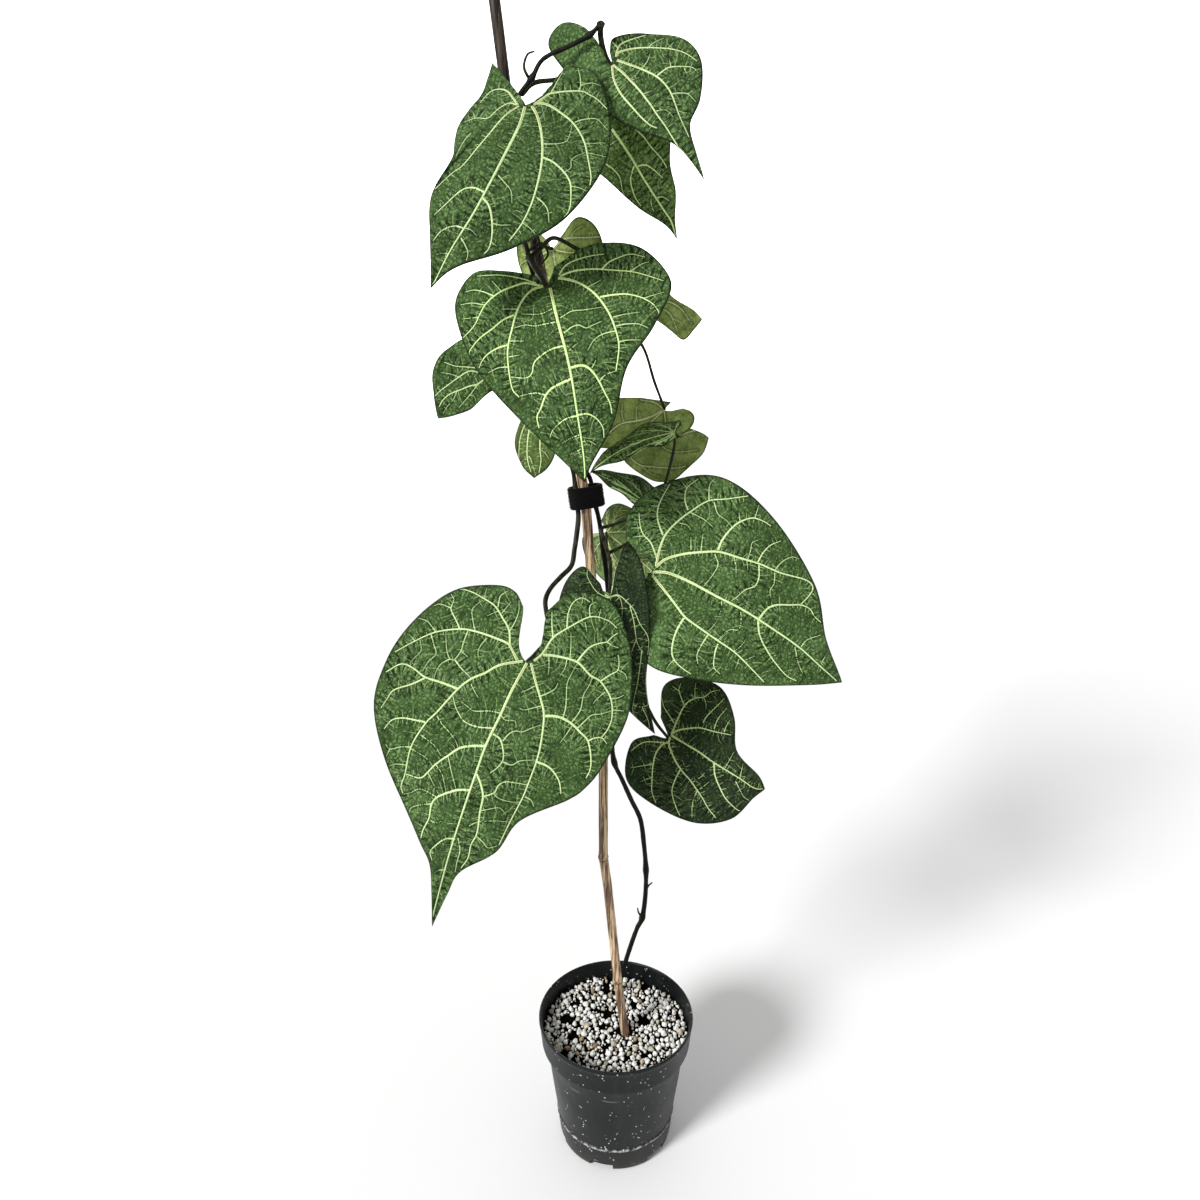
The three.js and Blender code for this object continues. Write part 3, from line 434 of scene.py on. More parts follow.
        (1.0, (741, 612), (741, 623), (738, 630), (729, 630), (718, 640)),
        (2.0, (652, 575), (665, 591), (675, 604), (685, 617), (697, 626), (714, 638), (733, 651),
         (745, 662), (764, 682)),
        (1.7, (684, 618), (677, 630), (673, 642), (672, 653), (675, 661), (682, 668), (691, 674)),
        (0.8, (674, 660), (669, 665), (666, 670)),
        (1.2, (708, 635), (701, 646), (697, 655), (698, 664)),
        (1.3, (718, 644), (715, 653), (714, 667), (720, 674)),
        (0.8, (714, 668), (706, 673)),
        (0.8, (739, 659), (735, 670)),
        (0.7, (743, 661), (755, 656)),
        (0.8, (733, 652), (741, 646), (747, 638)),
        (1.7, (647, 574), (641, 585), (638, 596), (636, 607)),
        (1.5, (648, 572), (636, 573), (625, 575), (616, 580)),
    ],
    "small_right": [
        (1.7, (671, 735), (684, 743), (699, 752), (713, 762), (739, 778), (754, 788), (764, 789)),
        (1.6, (671, 734), (679, 730), (693, 728), (701, 728), (712, 731), (721, 733), (731, 735)),
        (0.9, (724, 732), (727, 725), (730, 720)),
        (0.9, (714, 729), (718, 719), (727, 708)),
        (1.1, (703, 723), (707, 716), (715, 708), (725, 698)),
        (1.5, (672, 733), (676, 723), (680, 714), (683, 708), (688, 702), (696, 698), (704, 697),
         (711, 692), (720, 690)),
        (1.1, (684, 705), (681, 697), (679, 690), (681, 683)),
        (0.8, (679, 691), (672, 686)),
        (0.8, (695, 699), (695, 689), (696, 683)),
        (0.8, (704, 698), (706, 704), (706, 709)),
        (1.0, (674, 723), (669, 715), (664, 707), (662, 700), (661, 693)),
        (1.6, (670, 737), (669, 745), (675, 760), (682, 771), (690, 780), (697, 790), (703, 799),
         (708, 808), (716, 818)),
        (1.2, (680, 770), (675, 780), (672, 790), (673, 798), (676, 807), (680, 816)),
        (1.0, (697, 791), (693, 801), (692, 810), (692, 818)),
        (0.8, (699, 790), (709, 782)),
        (0.8, (693, 782), (701, 777), (706, 771)),
        (0.7, (682, 769), (690, 765)),
        (1.4, (668, 742), (662, 745), (656, 753), (653, 765), (652, 780), (652, 792), (656, 803)),
        (1.0, (654, 764), (641, 766), (630, 768)),
        (0.8, (652, 777), (640, 782)),
        (1.2, (667, 743), (657, 742), (645, 742), (637, 746), (631, 751)),
        (1.4, (714, 763), (715, 775), (720, 788), (726, 799), (735, 808), (741, 812)),
        (0.9, (725, 768), (734, 752)),
        (0.8, (740, 778), (743, 764)),
        (0.9, (735, 780), (740, 790), (744, 797), (750, 801)),
    ],
    "middle_left": [
        (1.2, (498, 366), (484, 368), (467, 367), (455, 366), (444, 362)),
        (1.4, (498, 366), (484, 373), (470, 371), (459, 377), (448, 385), (440, 391), (435, 396)),
        (0.7, (459, 377), (450, 374), (439, 372)),
        (1.5, (498, 368), (488, 376), (478, 384), (470, 386), (460, 390), (450, 394), (443, 400),
         (439, 407)),
        (0.9, (478, 384), (470, 395), (462, 404), (459, 408)),
        (0.7, (469, 395), (474, 396), (476, 401)),
        (0.7, (457, 391), (453, 400), (446, 408), (443, 414)),
    ],
    "low_centre": [
        (0.8, (608, 598), (610, 586), (612, 574), (619, 553), (626, 537)),
        (0.8, (608, 598), (597, 592), (590, 582), (587, 574), (590, 562)),
        (0.7, (604, 553), (606, 562), (611, 572)),
        (0.7, (608, 598), (618, 596), (622, 605), (622, 618)),
        (0.9, (608, 598), (618, 595), (627, 602), (634, 610), (640, 624), (648, 637), (651, 659)),
        (0.8, (630, 606), (634, 622), (637, 642), (643, 653)),
        (0.7, (636, 640), (629, 659)),
        (0.8, (642, 650), (638, 680), (633, 705), (634, 716), (640, 729)),
        (0.8, (633, 705), (642, 707), (651, 703), (657, 693)),
        (0.8, (642, 707), (648, 720), (650, 732)),
    ],
    "middle_right": [
        (1.4, (641, 293), (656, 299), (672, 303), (682, 310), (686, 316), (692, 324)),
        (1.2, (641, 294), (656, 305), (669, 313), (673, 320), (678, 332)),
        (0.8, (673, 319), (680, 322), (684, 328)),
    ],
    "back_right": [
        (1.6, (632, 446), (640, 444), (661, 441), (673, 438), (690, 432), (699, 430)),
        (0.9, (659, 441), (663, 447), (670, 451), (682, 452), (698, 450)),
        (1.2, (632, 446), (630, 456), (640, 465), (653, 467), (665, 468), (679, 468), (686, 466)),
        (0.8, (640, 465), (651, 474), (660, 477)),
        (1.0, (632, 446), (640, 436), (656, 427), (676, 423), (690, 426)),
        (0.7, (650, 442), (655, 433), (664, 428)),
    ],
    "back_upper": [
        (1.6, (664, 410), (650, 417), (637, 421), (624, 423), (616, 427), (605, 437)),
        (0.9, (624, 423), (622, 415), (622, 404)),
        (0.9, (637, 421), (636, 413), (637, 406)),
        (1.0, (664, 410), (650, 423), (636, 432), (624, 440)),
        (0.9, (664, 410), (666, 424), (672, 434), (684, 436)),
        (0.8, (649, 424), (658, 432), (660, 440)),
        (1.0, (664, 410), (655, 403), (640, 400)),
    ],
    "small_hanging": [
        (1.2, (538, 414), (528, 420), (521, 435), (519, 450), (519, 461)),
        (1.5, (539, 414), (533, 421), (530, 428), (528, 437), (527, 452), (528, 462), (531, 472)),
        (0.9, (529, 456), (532, 463), (536, 477)),
        (1.4, (540, 414), (539, 424), (540, 434), (540, 450), (541, 460), (539, 473)),
        (1.0, (540, 434), (547, 440), (551, 449)),
        (0.7, (541, 450), (545, 453), (549, 459)),
        (0.7, (527, 459), (522, 461), (521, 468)),
    ],
    "back_top": [
        (1.4, (553, 250), (563, 240), (575, 238), (586, 238), (601, 237)),
        (1.2, (553, 250), (555, 237), (562, 226), (575, 213)),
        (0.9, (571, 238), (575, 231), (583, 226)),
        (0.9, (553, 250), (572, 253), (590, 250), (595, 245), (603, 243)),
        (1.1, (553, 250), (541, 255), (528, 259), (527, 250), (524, 246)),
        (1.1, (553, 250), (536, 258), (524, 262), (515, 271)),
        (1.2, (553, 250), (556, 268), (559, 284), (560, 300)),
    ],
}

# Cane, stem, stalks and tie, as in the CAD. A stalk has its radius and its route from the stem.

CANE_RADIUS = 3.45
CANE_NODE_RADIUS = 4.05
CANE_ROUTE = [
    (17, -8, 12), (7, -6, 97), (1, -5, 145), (-7, -3, 229), (-10, -2, 251), (-10, -1, 329),
    (-19, 2, 476), (-22, 3, 517), (-36, 5, 591), (-47, 6, 647), (-67, 9, 756), (-84, 12, 905),
]
CANE_NODE_HEIGHTS = (145, 251, 402, 545, 689, 823)

STEM_BASE_RADIUS = 1.9
STEM_TIP_RADIUS = 1.2
STEM_NODE_SWELL = 0.7
STEM_ROUTE = [
    (3, 37, 52), (3, 36, 97), (7, 33, 124), (12, 31, 146), (17, 29, 165), (21, 28, 176), (23, 26, 198),
    (23, 24, 222), (21, 22, 246), (18, 21, 268), (11, 20, 285), (4, 18, 303), (-2, 17, 318), (-4, 15, 339),
    (-5, 13, 377), (-5, 12, 415), (-7, 11, 451), (-10, 10, 480), (-13, 9, 500), (-15, 7.5, 509),
    (-17, 7.5, 518), (-19, 9.5, 528), (-25, 13, 536), (-34, 12, 543), (-41, 11, 553), (-47, 4, 572),
    (-49, 1, 597), (-50, -2, 621), (-51, -4, 644), (-54, -4, 660), (-58, -2, 675), (-63, 0, 694),
    (-67, 0, 716), (-66, 0, 734), (-59, 0, 748), (-51, -2, 757), (-46, -2, 765), (-40, -2, 769),
    (-29, -3, 773), (-18, -4, 778), (-12, -6, 783),
]
STEM_NODES = (5, 7, 12, 17, 22, 24, 27, 29, 33, 35, 39)
STALKS = {
    "crown_left": (1.3, [(-66, 0, 722), (-64, -8, 731), (-58, -17, 737)]),
    "crown_right": (1.4, [(-12, -6, 783), (-12, 0, 778), (-10, 3, 771)]),
    "crown_back": (1.1, [(-57, 0, 750), (-50, 8, 757), (-39, 15, 760), (-28, 23, 764), (-24, 27, 760)]),
    "middle_front": (1.6, [(-54, -4, 662), (-51, -13, 657), (-46, -23, 650)]),
    "middle_left": (1.1, [(-50, -2, 621), (-58, 6, 617), (-69, 12, 609)]),
    "small_hanging": (1, [(-48, 3, 585), (-52, 6, 579), (-52, 5, 574)]),
    "middle_right": (1.1, [(-54, -4, 662), (-47, -2, 668), (-40, 8, 674), (-26, 15, 668), (-8, 18, 659)]),
    "back_right": (1.1, [(-41, 11, 553), (-26, 20, 556), (-10, 26, 553), (3, 29, 548)]),
    "back_upper": (0.9, [(-50, -2, 618), (-42, 16, 622), (-5, 24, 626), (14, 28, 612), (23, 24, 588)]),
    "folded": (0.9, [(-10, 10, 476), (8, 18, 484), (22, 17, 504), (30, 15, 522), (35, 8, 546)]),
    "edge_on": (0.9, [(-12, 9, 495), (-3, 11, 497), (7, 12, 501), (14, 13, 505)]),
    "back_pale": (1, [(-9, 10, 470), (-8, 18, 472), (-8, 26, 479)]),
    "low_centre": (1.1, [(-12, 9, 495), (-10, -4, 490), (-6, -20, 479), (-6, -33, 469)]),
    "low_right": (1.4, [(-6, 12, 437), (5, 6, 440), (14, -8, 452), (19, -20, 467)]),
    "low_left": (1.4, [
        (-31, 12, 540), (-29, 9, 530), (-28, 4, 517), (-26.5, 2, 505), (-27.5, -1, 494), (-29, -5, 484),
        (-31, -9, 474), (-38, -16, 468), (-44, -24, 463), (-47, -30, 457), (-46, -37, 450), (-44, -44, 444),
        (-46, -52, 437), (-52, -58, 431)]),
    "small_right": (1.1, [(-5, 12, 394), (9, 13, 386), (19, 11, 369), (27, 4, 356)]),
    "back_top": (1, [(-57, -2, 672), (-60, 8, 675), (-57, 20, 674), (-49, 29, 671)]),
}
TENDRIL_RADIUS = 0.8
TENDRILS = [
    [(-52, -2, 756), (-55, -4, 762), (-53, -5, 768), (-49, -4, 770)],
    [(-55, -3, 666), (-47, -6, 670), (-43, -8, 664), (-47, -9, 658)],
    [(23, 26, 200), (25, 25, 207), (28, 24, 211)],
    [(21, 28, 176), (18, 26, 182), (17, 25, 187)],
]

TIE = {
    "centre": (-21.6, 4.6, 517), "lean": (-0.15, 0.025, 1), "height": 14,
    "half_width": 8.7, "half_depth": 6.3, "power": 3, "strap": 1.9, "overlap": 1.1,
}

# Pot and what fills it, as in the CAD

RIM_RADIUS = 60
POT_HEIGHT = 110
COLLAR_FOOT = 88
BODY_TOP_RADIUS = 54
BASE_RADIUS = 43
RING_HEIGHT = 22
WALL = 1.6
FOOT_HEIGHT = 6
FLOOR_TOP = 8.4
PAD_RADIUS = 27
CHANNEL_RADIUS = 38
NOTCH_TURNS = [math.radians(-105 + 60 * i) for i in range(6)]
NOTCH_WIDTH = 18
DRAIN_RADIUS = 4
SOIL_TOP = 95
GAP = 0.3


# Mesh tools. Lengths come in as millimetres.

TINY = 1e-6


def mesh_piece(name, points, faces, materials, slots=None, attributes=None):
    mesh = bpy.data.meshes.new(name)
    points = np.asarray(points, float) * MM
    faces = np.asarray(faces, np.int32)
    sides = faces.shape[1]
    mesh.vertices.add(len(points))
    mesh.vertices.foreach_set("co", points.astype(np.float32).ravel())
    mesh.loops.add(faces.size)
    mesh.loops.foreach_set("vertex_index", faces.ravel())
    mesh.polygons.add(len(faces))
    mesh.polygons.foreach_set("loop_start", np.arange(0, faces.size, sides, dtype=np.int32))
    mesh.polygons.foreach_set("use_smooth", np.ones(len(faces), bool))
    for made in materials:
        mesh.materials.append(made)
    if slots is not None:
        mesh.polygons.foreach_set("material_index", np.asarray(slots, np.int32))
    mesh.update(calc_edges=True)
    for label, values in (attributes or {}).items():
        values = np.asarray(values, np.float32)
        kind = "FLOAT" if values.ndim == 1 else "FLOAT_VECTOR"
        layer = mesh.attributes.new(label, kind, "POINT")
        layer.data.foreach_set("value" if values.ndim == 1 else "vector", values.ravel())
    piece = bpy.data.objects.new(name, mesh)
    bpy.context.scene.collection.objects.link(piece)
    return piece


# Says which body a piece rides and which node it replaces
def stand_for(piece, node):
    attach(piece, "root")
    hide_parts(node)


def unit(vector):
    vector = np.asarray(vector, float)
    return vector / np.linalg.norm(vector)


# Unit direction of a line at each of its points
def headings(line):
    ahead = np.gradient(line, axis=0)
    return ahead / np.maximum(np.linalg.norm(ahead, axis=1), TINY)[:, None]


# A smooth bump of height 1 at 0, which dies out over a few widths
def bump(distance, width):
    return np.exp(-((distance / width) ** 2))


# Points on the smooth curve through the listed points, with t from 0 at the first to 1 at the last
def curve(points, t):
    points = np.asarray(points, float)
    spans = len(points) - 1
    place = np.clip(t, 0, 1) * spans
    span = np.minimum(place.astype(int), spans - 1)
    u = (place - span)[..., None]
    ends = np.vstack([2 * points[:1] - points[1:2], points, 2 * points[-1:] - points[-2:-1]])
    before, here, after, beyond = (ends[span + k] for k in range(4))
    slope = (after - before) / 2
    next_slope = (beyond - here) / 2
    rise = after - here
    bend = 3 * rise - 2 * slope - next_slope + u * (slope + next_slope - 2 * rise)
    return here + u * (slope + u * bend)


# How far along a line each of its points lies
def reach_along(points):
    return np.concatenate([[0], np.cumsum(np.linalg.norm(np.diff(points, axis=0), axis=1))])


# The same line with points an equal step apart
def even_steps(points, step):
    points = np.asarray(points, float)
    reach = reach_along(points)
    count = max(int(round(reach[-1] / step)), 2)
    wanted = np.linspace(0, reach[-1], count + 1)
    return np.stack([np.interp(wanted, reach, column) for column in points.T], axis=1)


class Parts:
    """Collects points and triangles of one piece from several shapes."""

    def __init__(self):
        self.points = []
        self.faces = []
        self.slots = []
        self.extra = {}
        self.count = 0

    def add(self, points, faces, slot=0, **extra):
        self.points.append(points)
        self.faces.append(np.asarray(faces) + self.count)
        self.slots.append(np.full(len(faces), slot))
        for label, values in extra.items():
            self.extra.setdefault(label, []).append(values)
        self.count += len(points)

    def piece(self, name, materials):
        joined = {label: np.concatenate(values) for label, values in self.extra.items()}
        return mesh_piece(name, np.concatenate(self.points), np.concatenate(self.faces), materials,
                          np.concatenate(self.slots), joined)


# Two triangles for each square between rows of points, closed round or left open
def skin(rows, wide, closed=True):
    row = np.arange(rows - 1)[:, None] * wide
    k = np.arange(wide if closed else wide - 1)[None, :]
    a = (row + k).ravel()
    b = (row + (k + 1) % wide).ravel()
    return np.vstack([np.stack([a, b, b + wide], 1), np.stack([a, b + wide, a + wide], 1)])


# The skin of closed rings, with a fan at either end to one of the two points that follow them
def capped_skin(rows, wide):
    start = np.arange(wide)
    follow = (start + 1) % wide
    final = (rows - 1) * wide
    first = rows * wide
    return np.vstack([
        skin(rows, wide),
        np.stack([np.full(wide, first), follow, start], 1),
        np.stack([np.full(wide, first + 1), final + start, final + follow], 1),
    ])


# A closed round tube. radii has one row a station, or one row a station with a column a side.
def tube(stations, radii, sides):
    stations = np.asarray(stations, float)
    radii = np.asarray(radii, float).reshape(len(stations), -1)
    across = np.array([1.0, 0, 0])
    angles = 2 * np.pi * np.arange(sides) / sides
    rings = []
    for centre, ahead, radius in zip(stations, headings(stations), radii):
        across = unit(across - across.dot(ahead) * ahead)
        third = np.cross(ahead, across)
        spokes = np.cos(angles)[:, None] * across + np.sin(angles)[:, None] * third
        rings.append(centre + radius[:, None] * spokes)
    return np.vstack(rings + [stations[:1], stations[-1:]]), capped_skin(len(stations), sides)


# A turned closed shape from a profile of (radius, height) that starts and ends on the axis
def turned(profile, sides):
    angles = 2 * np.pi * np.arange(sides) / sides
    c, s = np.cos(angles), np.sin(angles)
    rings = [np.stack([r * c, r * s, np.full(sides, z)], 1) for r, z in profile[1:-1]]
    ends = [[[0, 0, profile[end][1]]] for end in (0, -1)]
    return np.vstack(rings + ends), capped_skin(len(rings), sides)


# Takes the cutter away from a piece and leaves the result as its mesh
def cut_away(piece, cutter):
    change = piece.modifiers.new("cut", "BOOLEAN")
    change.operation = "DIFFERENCE"
    change.solver = "EXACT"
    change.object = cutter
    bpy.context.view_layer.update()
    shown = piece.evaluated_get(bpy.context.evaluated_depsgraph_get())
    result = bpy.data.meshes.new_from_object(shown)
    piece.modifiers.clear()
    old = piece.data
    piece.data = result
    bpy.data.meshes.remove(old)
    bpy.data.objects.remove(cutter)


# Smooth wandering values round 0, mostly between -1 and 1, from a few sine waves of seeded direction
def waves(places, size, seed, count=7):
    draw = np.random.default_rng(seed)
    places = np.asarray(places, float)
    total = np.zeros(len(places))
    for _ in range(count):
        direction = draw.normal(size=places.shape[1])
        direction *= 2 * np.pi / (size * draw.uniform(0.6, 1.6) * np.linalg.norm(direction))
        total += np.sin(places @ direction + draw.uniform(0, 2 * np.pi))
    return total / math.sqrt(count)


# Materials

class Paint:
    """One procedural material, built from short calls that each return a node's output."""

    def __init__(self, name):
        self.material = bpy.data.materials.new(name)
        self.material.use_nodes = True
        self.tree = self.material.node_tree
        self.shader = self.tree.nodes["Principled BSDF"]
        self.coordinates = self.tree.nodes.new("ShaderNodeTexCoord").outputs["Object"]

    def node(self, kind, **values):
        made = self.tree.nodes.new(kind)
        for label, value in values.items():
            setattr(made, label, value)
        return made

    def feed(self, socket, value):
        if isinstance(value, bpy.types.NodeSocket):
            self.tree.links.new(value, socket)
        else:
            socket.default_value = value

    def attribute(self, name, output="Fac"):
        return self.node("ShaderNodeAttribute", attribute_name=name).outputs[output]

    def noise(self, scale, detail=4.0, rough=0.6, vector=None, output="Fac"):
        made = self.node("ShaderNodeTexNoise")
        inputs = {"Vector": vector or self.coordinates, "Scale": scale, "Detail": detail, "Roughness": rough}
        for label, value in inputs.items():
            self.feed(made.inputs[label], value)
        return made.outputs[output]

    # Noise that is drawn out along the height of the piece
    def streaks(self, scale, detail, rough, height_share):
        made = self.node("ShaderNodeMapping")
        self.feed(made.inputs["Vector"], self.coordinates)
        made.inputs["Scale"].default_value = (1, 1, height_share)
        return self.noise(scale, detail, rough, made.outputs["Vector"])

    def cells(self, scale, vector=None, feature="DISTANCE_TO_EDGE"):
        made = self.node("ShaderNodeTexVoronoi", feature=feature)
        self.feed(made.inputs["Vector"], vector or self.coordinates)
        self.feed(made.inputs["Scale"], scale)
        return made.outputs["Distance"]

    def split(self, vector):
        made = self.node("ShaderNodeSeparateXYZ")
        self.feed(made.inputs[0], vector)
        return made.outputs

    def math(self, operation, first, second=0.0):
        made = self.node("ShaderNodeMath", operation=operation)
        self.feed(made.inputs[0], first)
        self.feed(made.inputs[1], second)
        return made.outputs[0]

    def product(self, first, second):
        return self.math("MULTIPLY", first, second)

    # How far a value lies from a level
    def off(self, value, level):
        return self.math("ABSOLUTE", self.math("SUBTRACT", value, level))

    # A smooth step: start below low, end above high
    def step(self, value, low, high, start=0.0, end=1.0):
        made = self.node("ShaderNodeMapRange", interpolation_type="SMOOTHSTEP")
        inputs = {"Value": value, "From Min": low, "From Max": high, "To Min": start, "To Max": end}
        for label, number in inputs.items():
            self.feed(made.inputs[label], number)
        return made.outputs["Result"]

    def mix(self, factor, first, second):
        made = self.node("ShaderNodeMix", data_type="RGBA", blend_type="MIX")
        for socket, value in zip((made.inputs[0], made.inputs[6], made.inputs[7]), (factor, first, second)):
            self.feed(socket, value)
        return made.outputs[2]

    # Lays one colour over another by a smooth step of a value
    def coat(self, under, over, value, low, high, start=0.0, end=1.0):
        return self.mix(self.step(value, low, high, start, end), under, over)

    # Tints the blade along its lines. Rows have colour, distance, where it is full, where it ends, and share.
    def beside_lines(self, color, rows):
        for over, distance, full, gone, share in rows:
            color = self.coat(color, over, self.attribute(distance), full, gone, share, 0.0)
        return color

    # bumps has rows of height, strength and distance in metres
    def finish(self, color, roughness, bumps=(), specular=0.5, sheen=0.0):
        self.feed(self.shader.inputs["Base Color"], color)
        self.feed(self.shader.inputs["Roughness"], roughness)
        self.shader.inputs["Specular IOR Level"].default_value = specular
        self.shader.inputs["Sheen Weight"].default_value = sheen
        normal = None
        for height, strength, distance in bumps:
            made = self.node("ShaderNodeBump")
            self.feed(made.inputs["Height"], height)
            made.inputs["Strength"].default_value = strength
            made.inputs["Distance"].default_value = distance
            if normal:
                self.feed(made.inputs["Normal"], normal)
            normal = made.outputs["Normal"]
        if normal:
            self.feed(self.shader.inputs["Normal"], normal)
        return self.material


# An opaque colour from its display values, 0 to 255
def rgb(red, green, blue):
    linear = [((v / 255 + 0.055) / 1.055) ** 2.4 if v > 10 else v / 255 / 12.92 for v in (red, green, blue)]
    return (*linear, 1.0)


# Leaf materials. Their patterns are laid out in the flat place on the blade, in mm.

FURROW_STEP = 4.2
NET_BEND = (1.6, 1.6, 1.6)


# Upper side of a blade: mottled green, faint net beside the barbs and white dust, with painted light: shade
# in the ladder furrows, in the creases between the puffs and beside the veins, and a highlight on the tops of
# the puffs
def blade_paint(name, light, middle, dark, darkest, net):
    paint = Paint(name)
    place = paint.attribute("leaf_place", "Vector")
    region = paint.noise(0.025, 2.0, 0.5, place)
    broad = paint.noise(0.1, 4.0, 0.65, place)
    fine = paint.noise(0.75, 5.0, 0.72, place)
    color = paint.coat(middle, light, region, 0.4, 0.62)
    color = paint.coat(color, dark, broad, 0.46, 0.64, 0.0, 0.75)
    color = paint.coat(color, light, fine, 0.52, 0.68, 0.0, 0.4)
    color = paint.coat(color, darkest, fine, 0.36, 0.49, 0.65, 0.0)
    color = painted_furrow_shade(paint, color, darkest, fine, place)
    bent = paint.node("ShaderNodeVectorMath", operation="MULTIPLY_ADD")
    paint.feed(bent.inputs[0], paint.noise(0.5, 2.0, 0.5, place, "Color"))
    bent.inputs[1].default_value = NET_BEND
    paint.feed(bent.inputs[2], place)
    mesh_lines = paint.cells(0.42, bent.outputs[0])
    # Painted highlight: the middles of the net's cells, the tops of the puffs, are paled towards the net
    # colour
    color = paint.coat(color, net, mesh_lines, 0.22, 0.45, 0.0, 0.3)
    # Painted shade: dark lines in the creases between the puffs, fainter in the broad dark patches
    crease_shade = paint.step(mesh_lines, 0.03, 0.22, 0.8, 0.0)
    color = paint.mix(paint.product(crease_shade, paint.step(broad, 0.35, 0.6, 1.0, 0.35)), color, darkest)
    color = paint.beside_lines(color, [
        (net, "to_rung", 0.2, 0.7, 0.25),
        # Painted shade: darkest beside the veins, where the blade dips
        (darkest, "to_vein", 0.6, 2.2, 0.55),
        (rgb(20, 30, 18), "to_edge", 0.3, 1.6, 0.8),
    ])
    dust = paint.step(paint.cells(0.9, place, "F1"), 0.1, 0.17, 0.9, 0.0)
    sparse = paint.step(paint.noise(0.35, 2.0, 0.5, place), 0.54, 0.62)
    color = paint.mix(paint.product(dust, sparse), color, rgb(170, 182, 156))
    puffs = paint.math("MINIMUM", mesh_lines, 0.35)
    rough = paint.step(fine, 0.3, 0.7, 0.52, 0.7)
    return paint.finish(color, rough, [(puffs, 0.9, 0.0016), (fine, 0.6, 0.0007)], 0.1)


# Painted shade: wandering dark stripes across the strip of blade beside a strong vein, where its furrows dip
def painted_furrow_shade(paint, color, shade, fine, place):
    strong = paint.attribute("to_strong")
    turns = paint.product(paint.attribute("along"), 2 * math.pi / FURROW_STEP)
    wander = paint.product(paint.noise(0.07, 3.0, 0.6, place), 9.0)
    wave = paint.math("SINE", paint.math("ADD", turns, wander))
    window = paint.product(paint.step(strong, 0.5, 1.6), paint.step(strong, 3.5, 10.0, 1.0, 0.0))
    region = paint.step(paint.noise(0.022, 2.0, 0.5, place), 0.4, 0.56, 0.25, 1.0)
    patchy = paint.product(region, paint.step(fine, 0.3, 0.6, 0.5, 1.0))
    stripe_shade = paint.product(paint.step(wave, 0.1, 0.9), paint.product(window, patchy))
    return paint.mix(stripe_shade, color, shade)


# Lower side of a blade: pale green with a faint net, and painted shade beside the veins
def underside_paint(name, light, dark, net):
    paint = Paint(name)
    place = paint.attribute("leaf_place", "Vector")
    broad = paint.noise(0.08, 4.0, 0.6, place)
    fine = paint.noise(0.7, 5.0, 0.7, place)
    color = paint.coat(light, dark, broad, 0.35, 0.65)
    color = paint.coat(color, dark, fine, 0.4, 0.7, 0.0, 0.6)
    lines = paint.cells(0.45, place)
    color = paint.coat(color, net, lines, 0.02, 0.1, 0.35, 0.0)
    color = paint.beside_lines(color, [
        (net, "to_rung", 0.2, 0.9, 0.35),
        # Painted shade: darker beside the veins, where the blade dips
        (rgb(30, 36, 18), "to_vein", 0.5, 2.4, 0.5),
        (rgb(26, 32, 18), "to_edge", 0.3, 1.4, 0.8),
    ])
    rough = paint.step(fine, 0.3, 0.7, 0.6, 0.78)
    return paint.finish(color, rough, [(lines, 0.6, 0.0007), (fine, 0.4, 0.0004)], 0.08)


# Raised vein: pale sides, and a tan middle line up to core_reach mm from the stalk
def vein_paint(name, pale, shaded, core, core_reach):
    paint = Paint(name)
    share, reach, _ = paint.split(paint.attribute("vein_place", "Vector"))
    across = paint.math("ABSOLUTE", share)
    grain = paint.noise(900.0, 4.0, 0.6)
    color = paint.coat(pale, shaded, grain, 0.35, 0.7)
    near = paint.step(reach, core_reach * 0.4, core_reach, 1.0, 0.0)
    middle = paint.product(paint.step(across, 0.15, 0.45, 1.0, 0.0), near)
    color = paint.mix(paint.product(middle, 0.85), color, core)
    color = paint.coat(color, rgb(38, 66, 32), across, 0.85, 1.05, 0.0, 0.7)
    return paint.finish(color, paint.step(grain, 0.3, 0.7, 0.45, 0.6), [(grain, 0.3, 0.0002)], 0.2)


# Materials of the other pieces. Scales are per metre.

def stem_paint():
    paint = Paint("stem_bark")
    long_grain = paint.streaks(260.0, 5.0, 0.65, 0.12)
    spots = paint.noise(700.0, 3.0, 0.6)
    color = paint.coat(rgb(7, 8, 6), rgb(24, 23, 17), long_grain, 0.4, 0.65)
    color = paint.coat(color, rgb(62, 58, 42), spots, 0.6, 0.72, 0.0, 0.8)
    rough = paint.step(spots, 0.3, 0.7, 0.45, 0.7)
    return paint.finish(color, rough, [(long_grain, 0.8, 0.0006), (spots, 0.5, 0.0003)], 0.12)


def stalk_paint():
    paint = Paint("stalk_skin")
    streak = paint.streaks(300.0, 4.0, 0.6, 0.3)
    color = paint.coat(rgb(16, 18, 11), rgb(46, 48, 28), streak, 0.38, 0.66)
    return paint.finish(color, paint.step(streak, 0.3, 0.7, 0.4, 0.6), [(streak, 0.6, 0.0004)], 0.15)


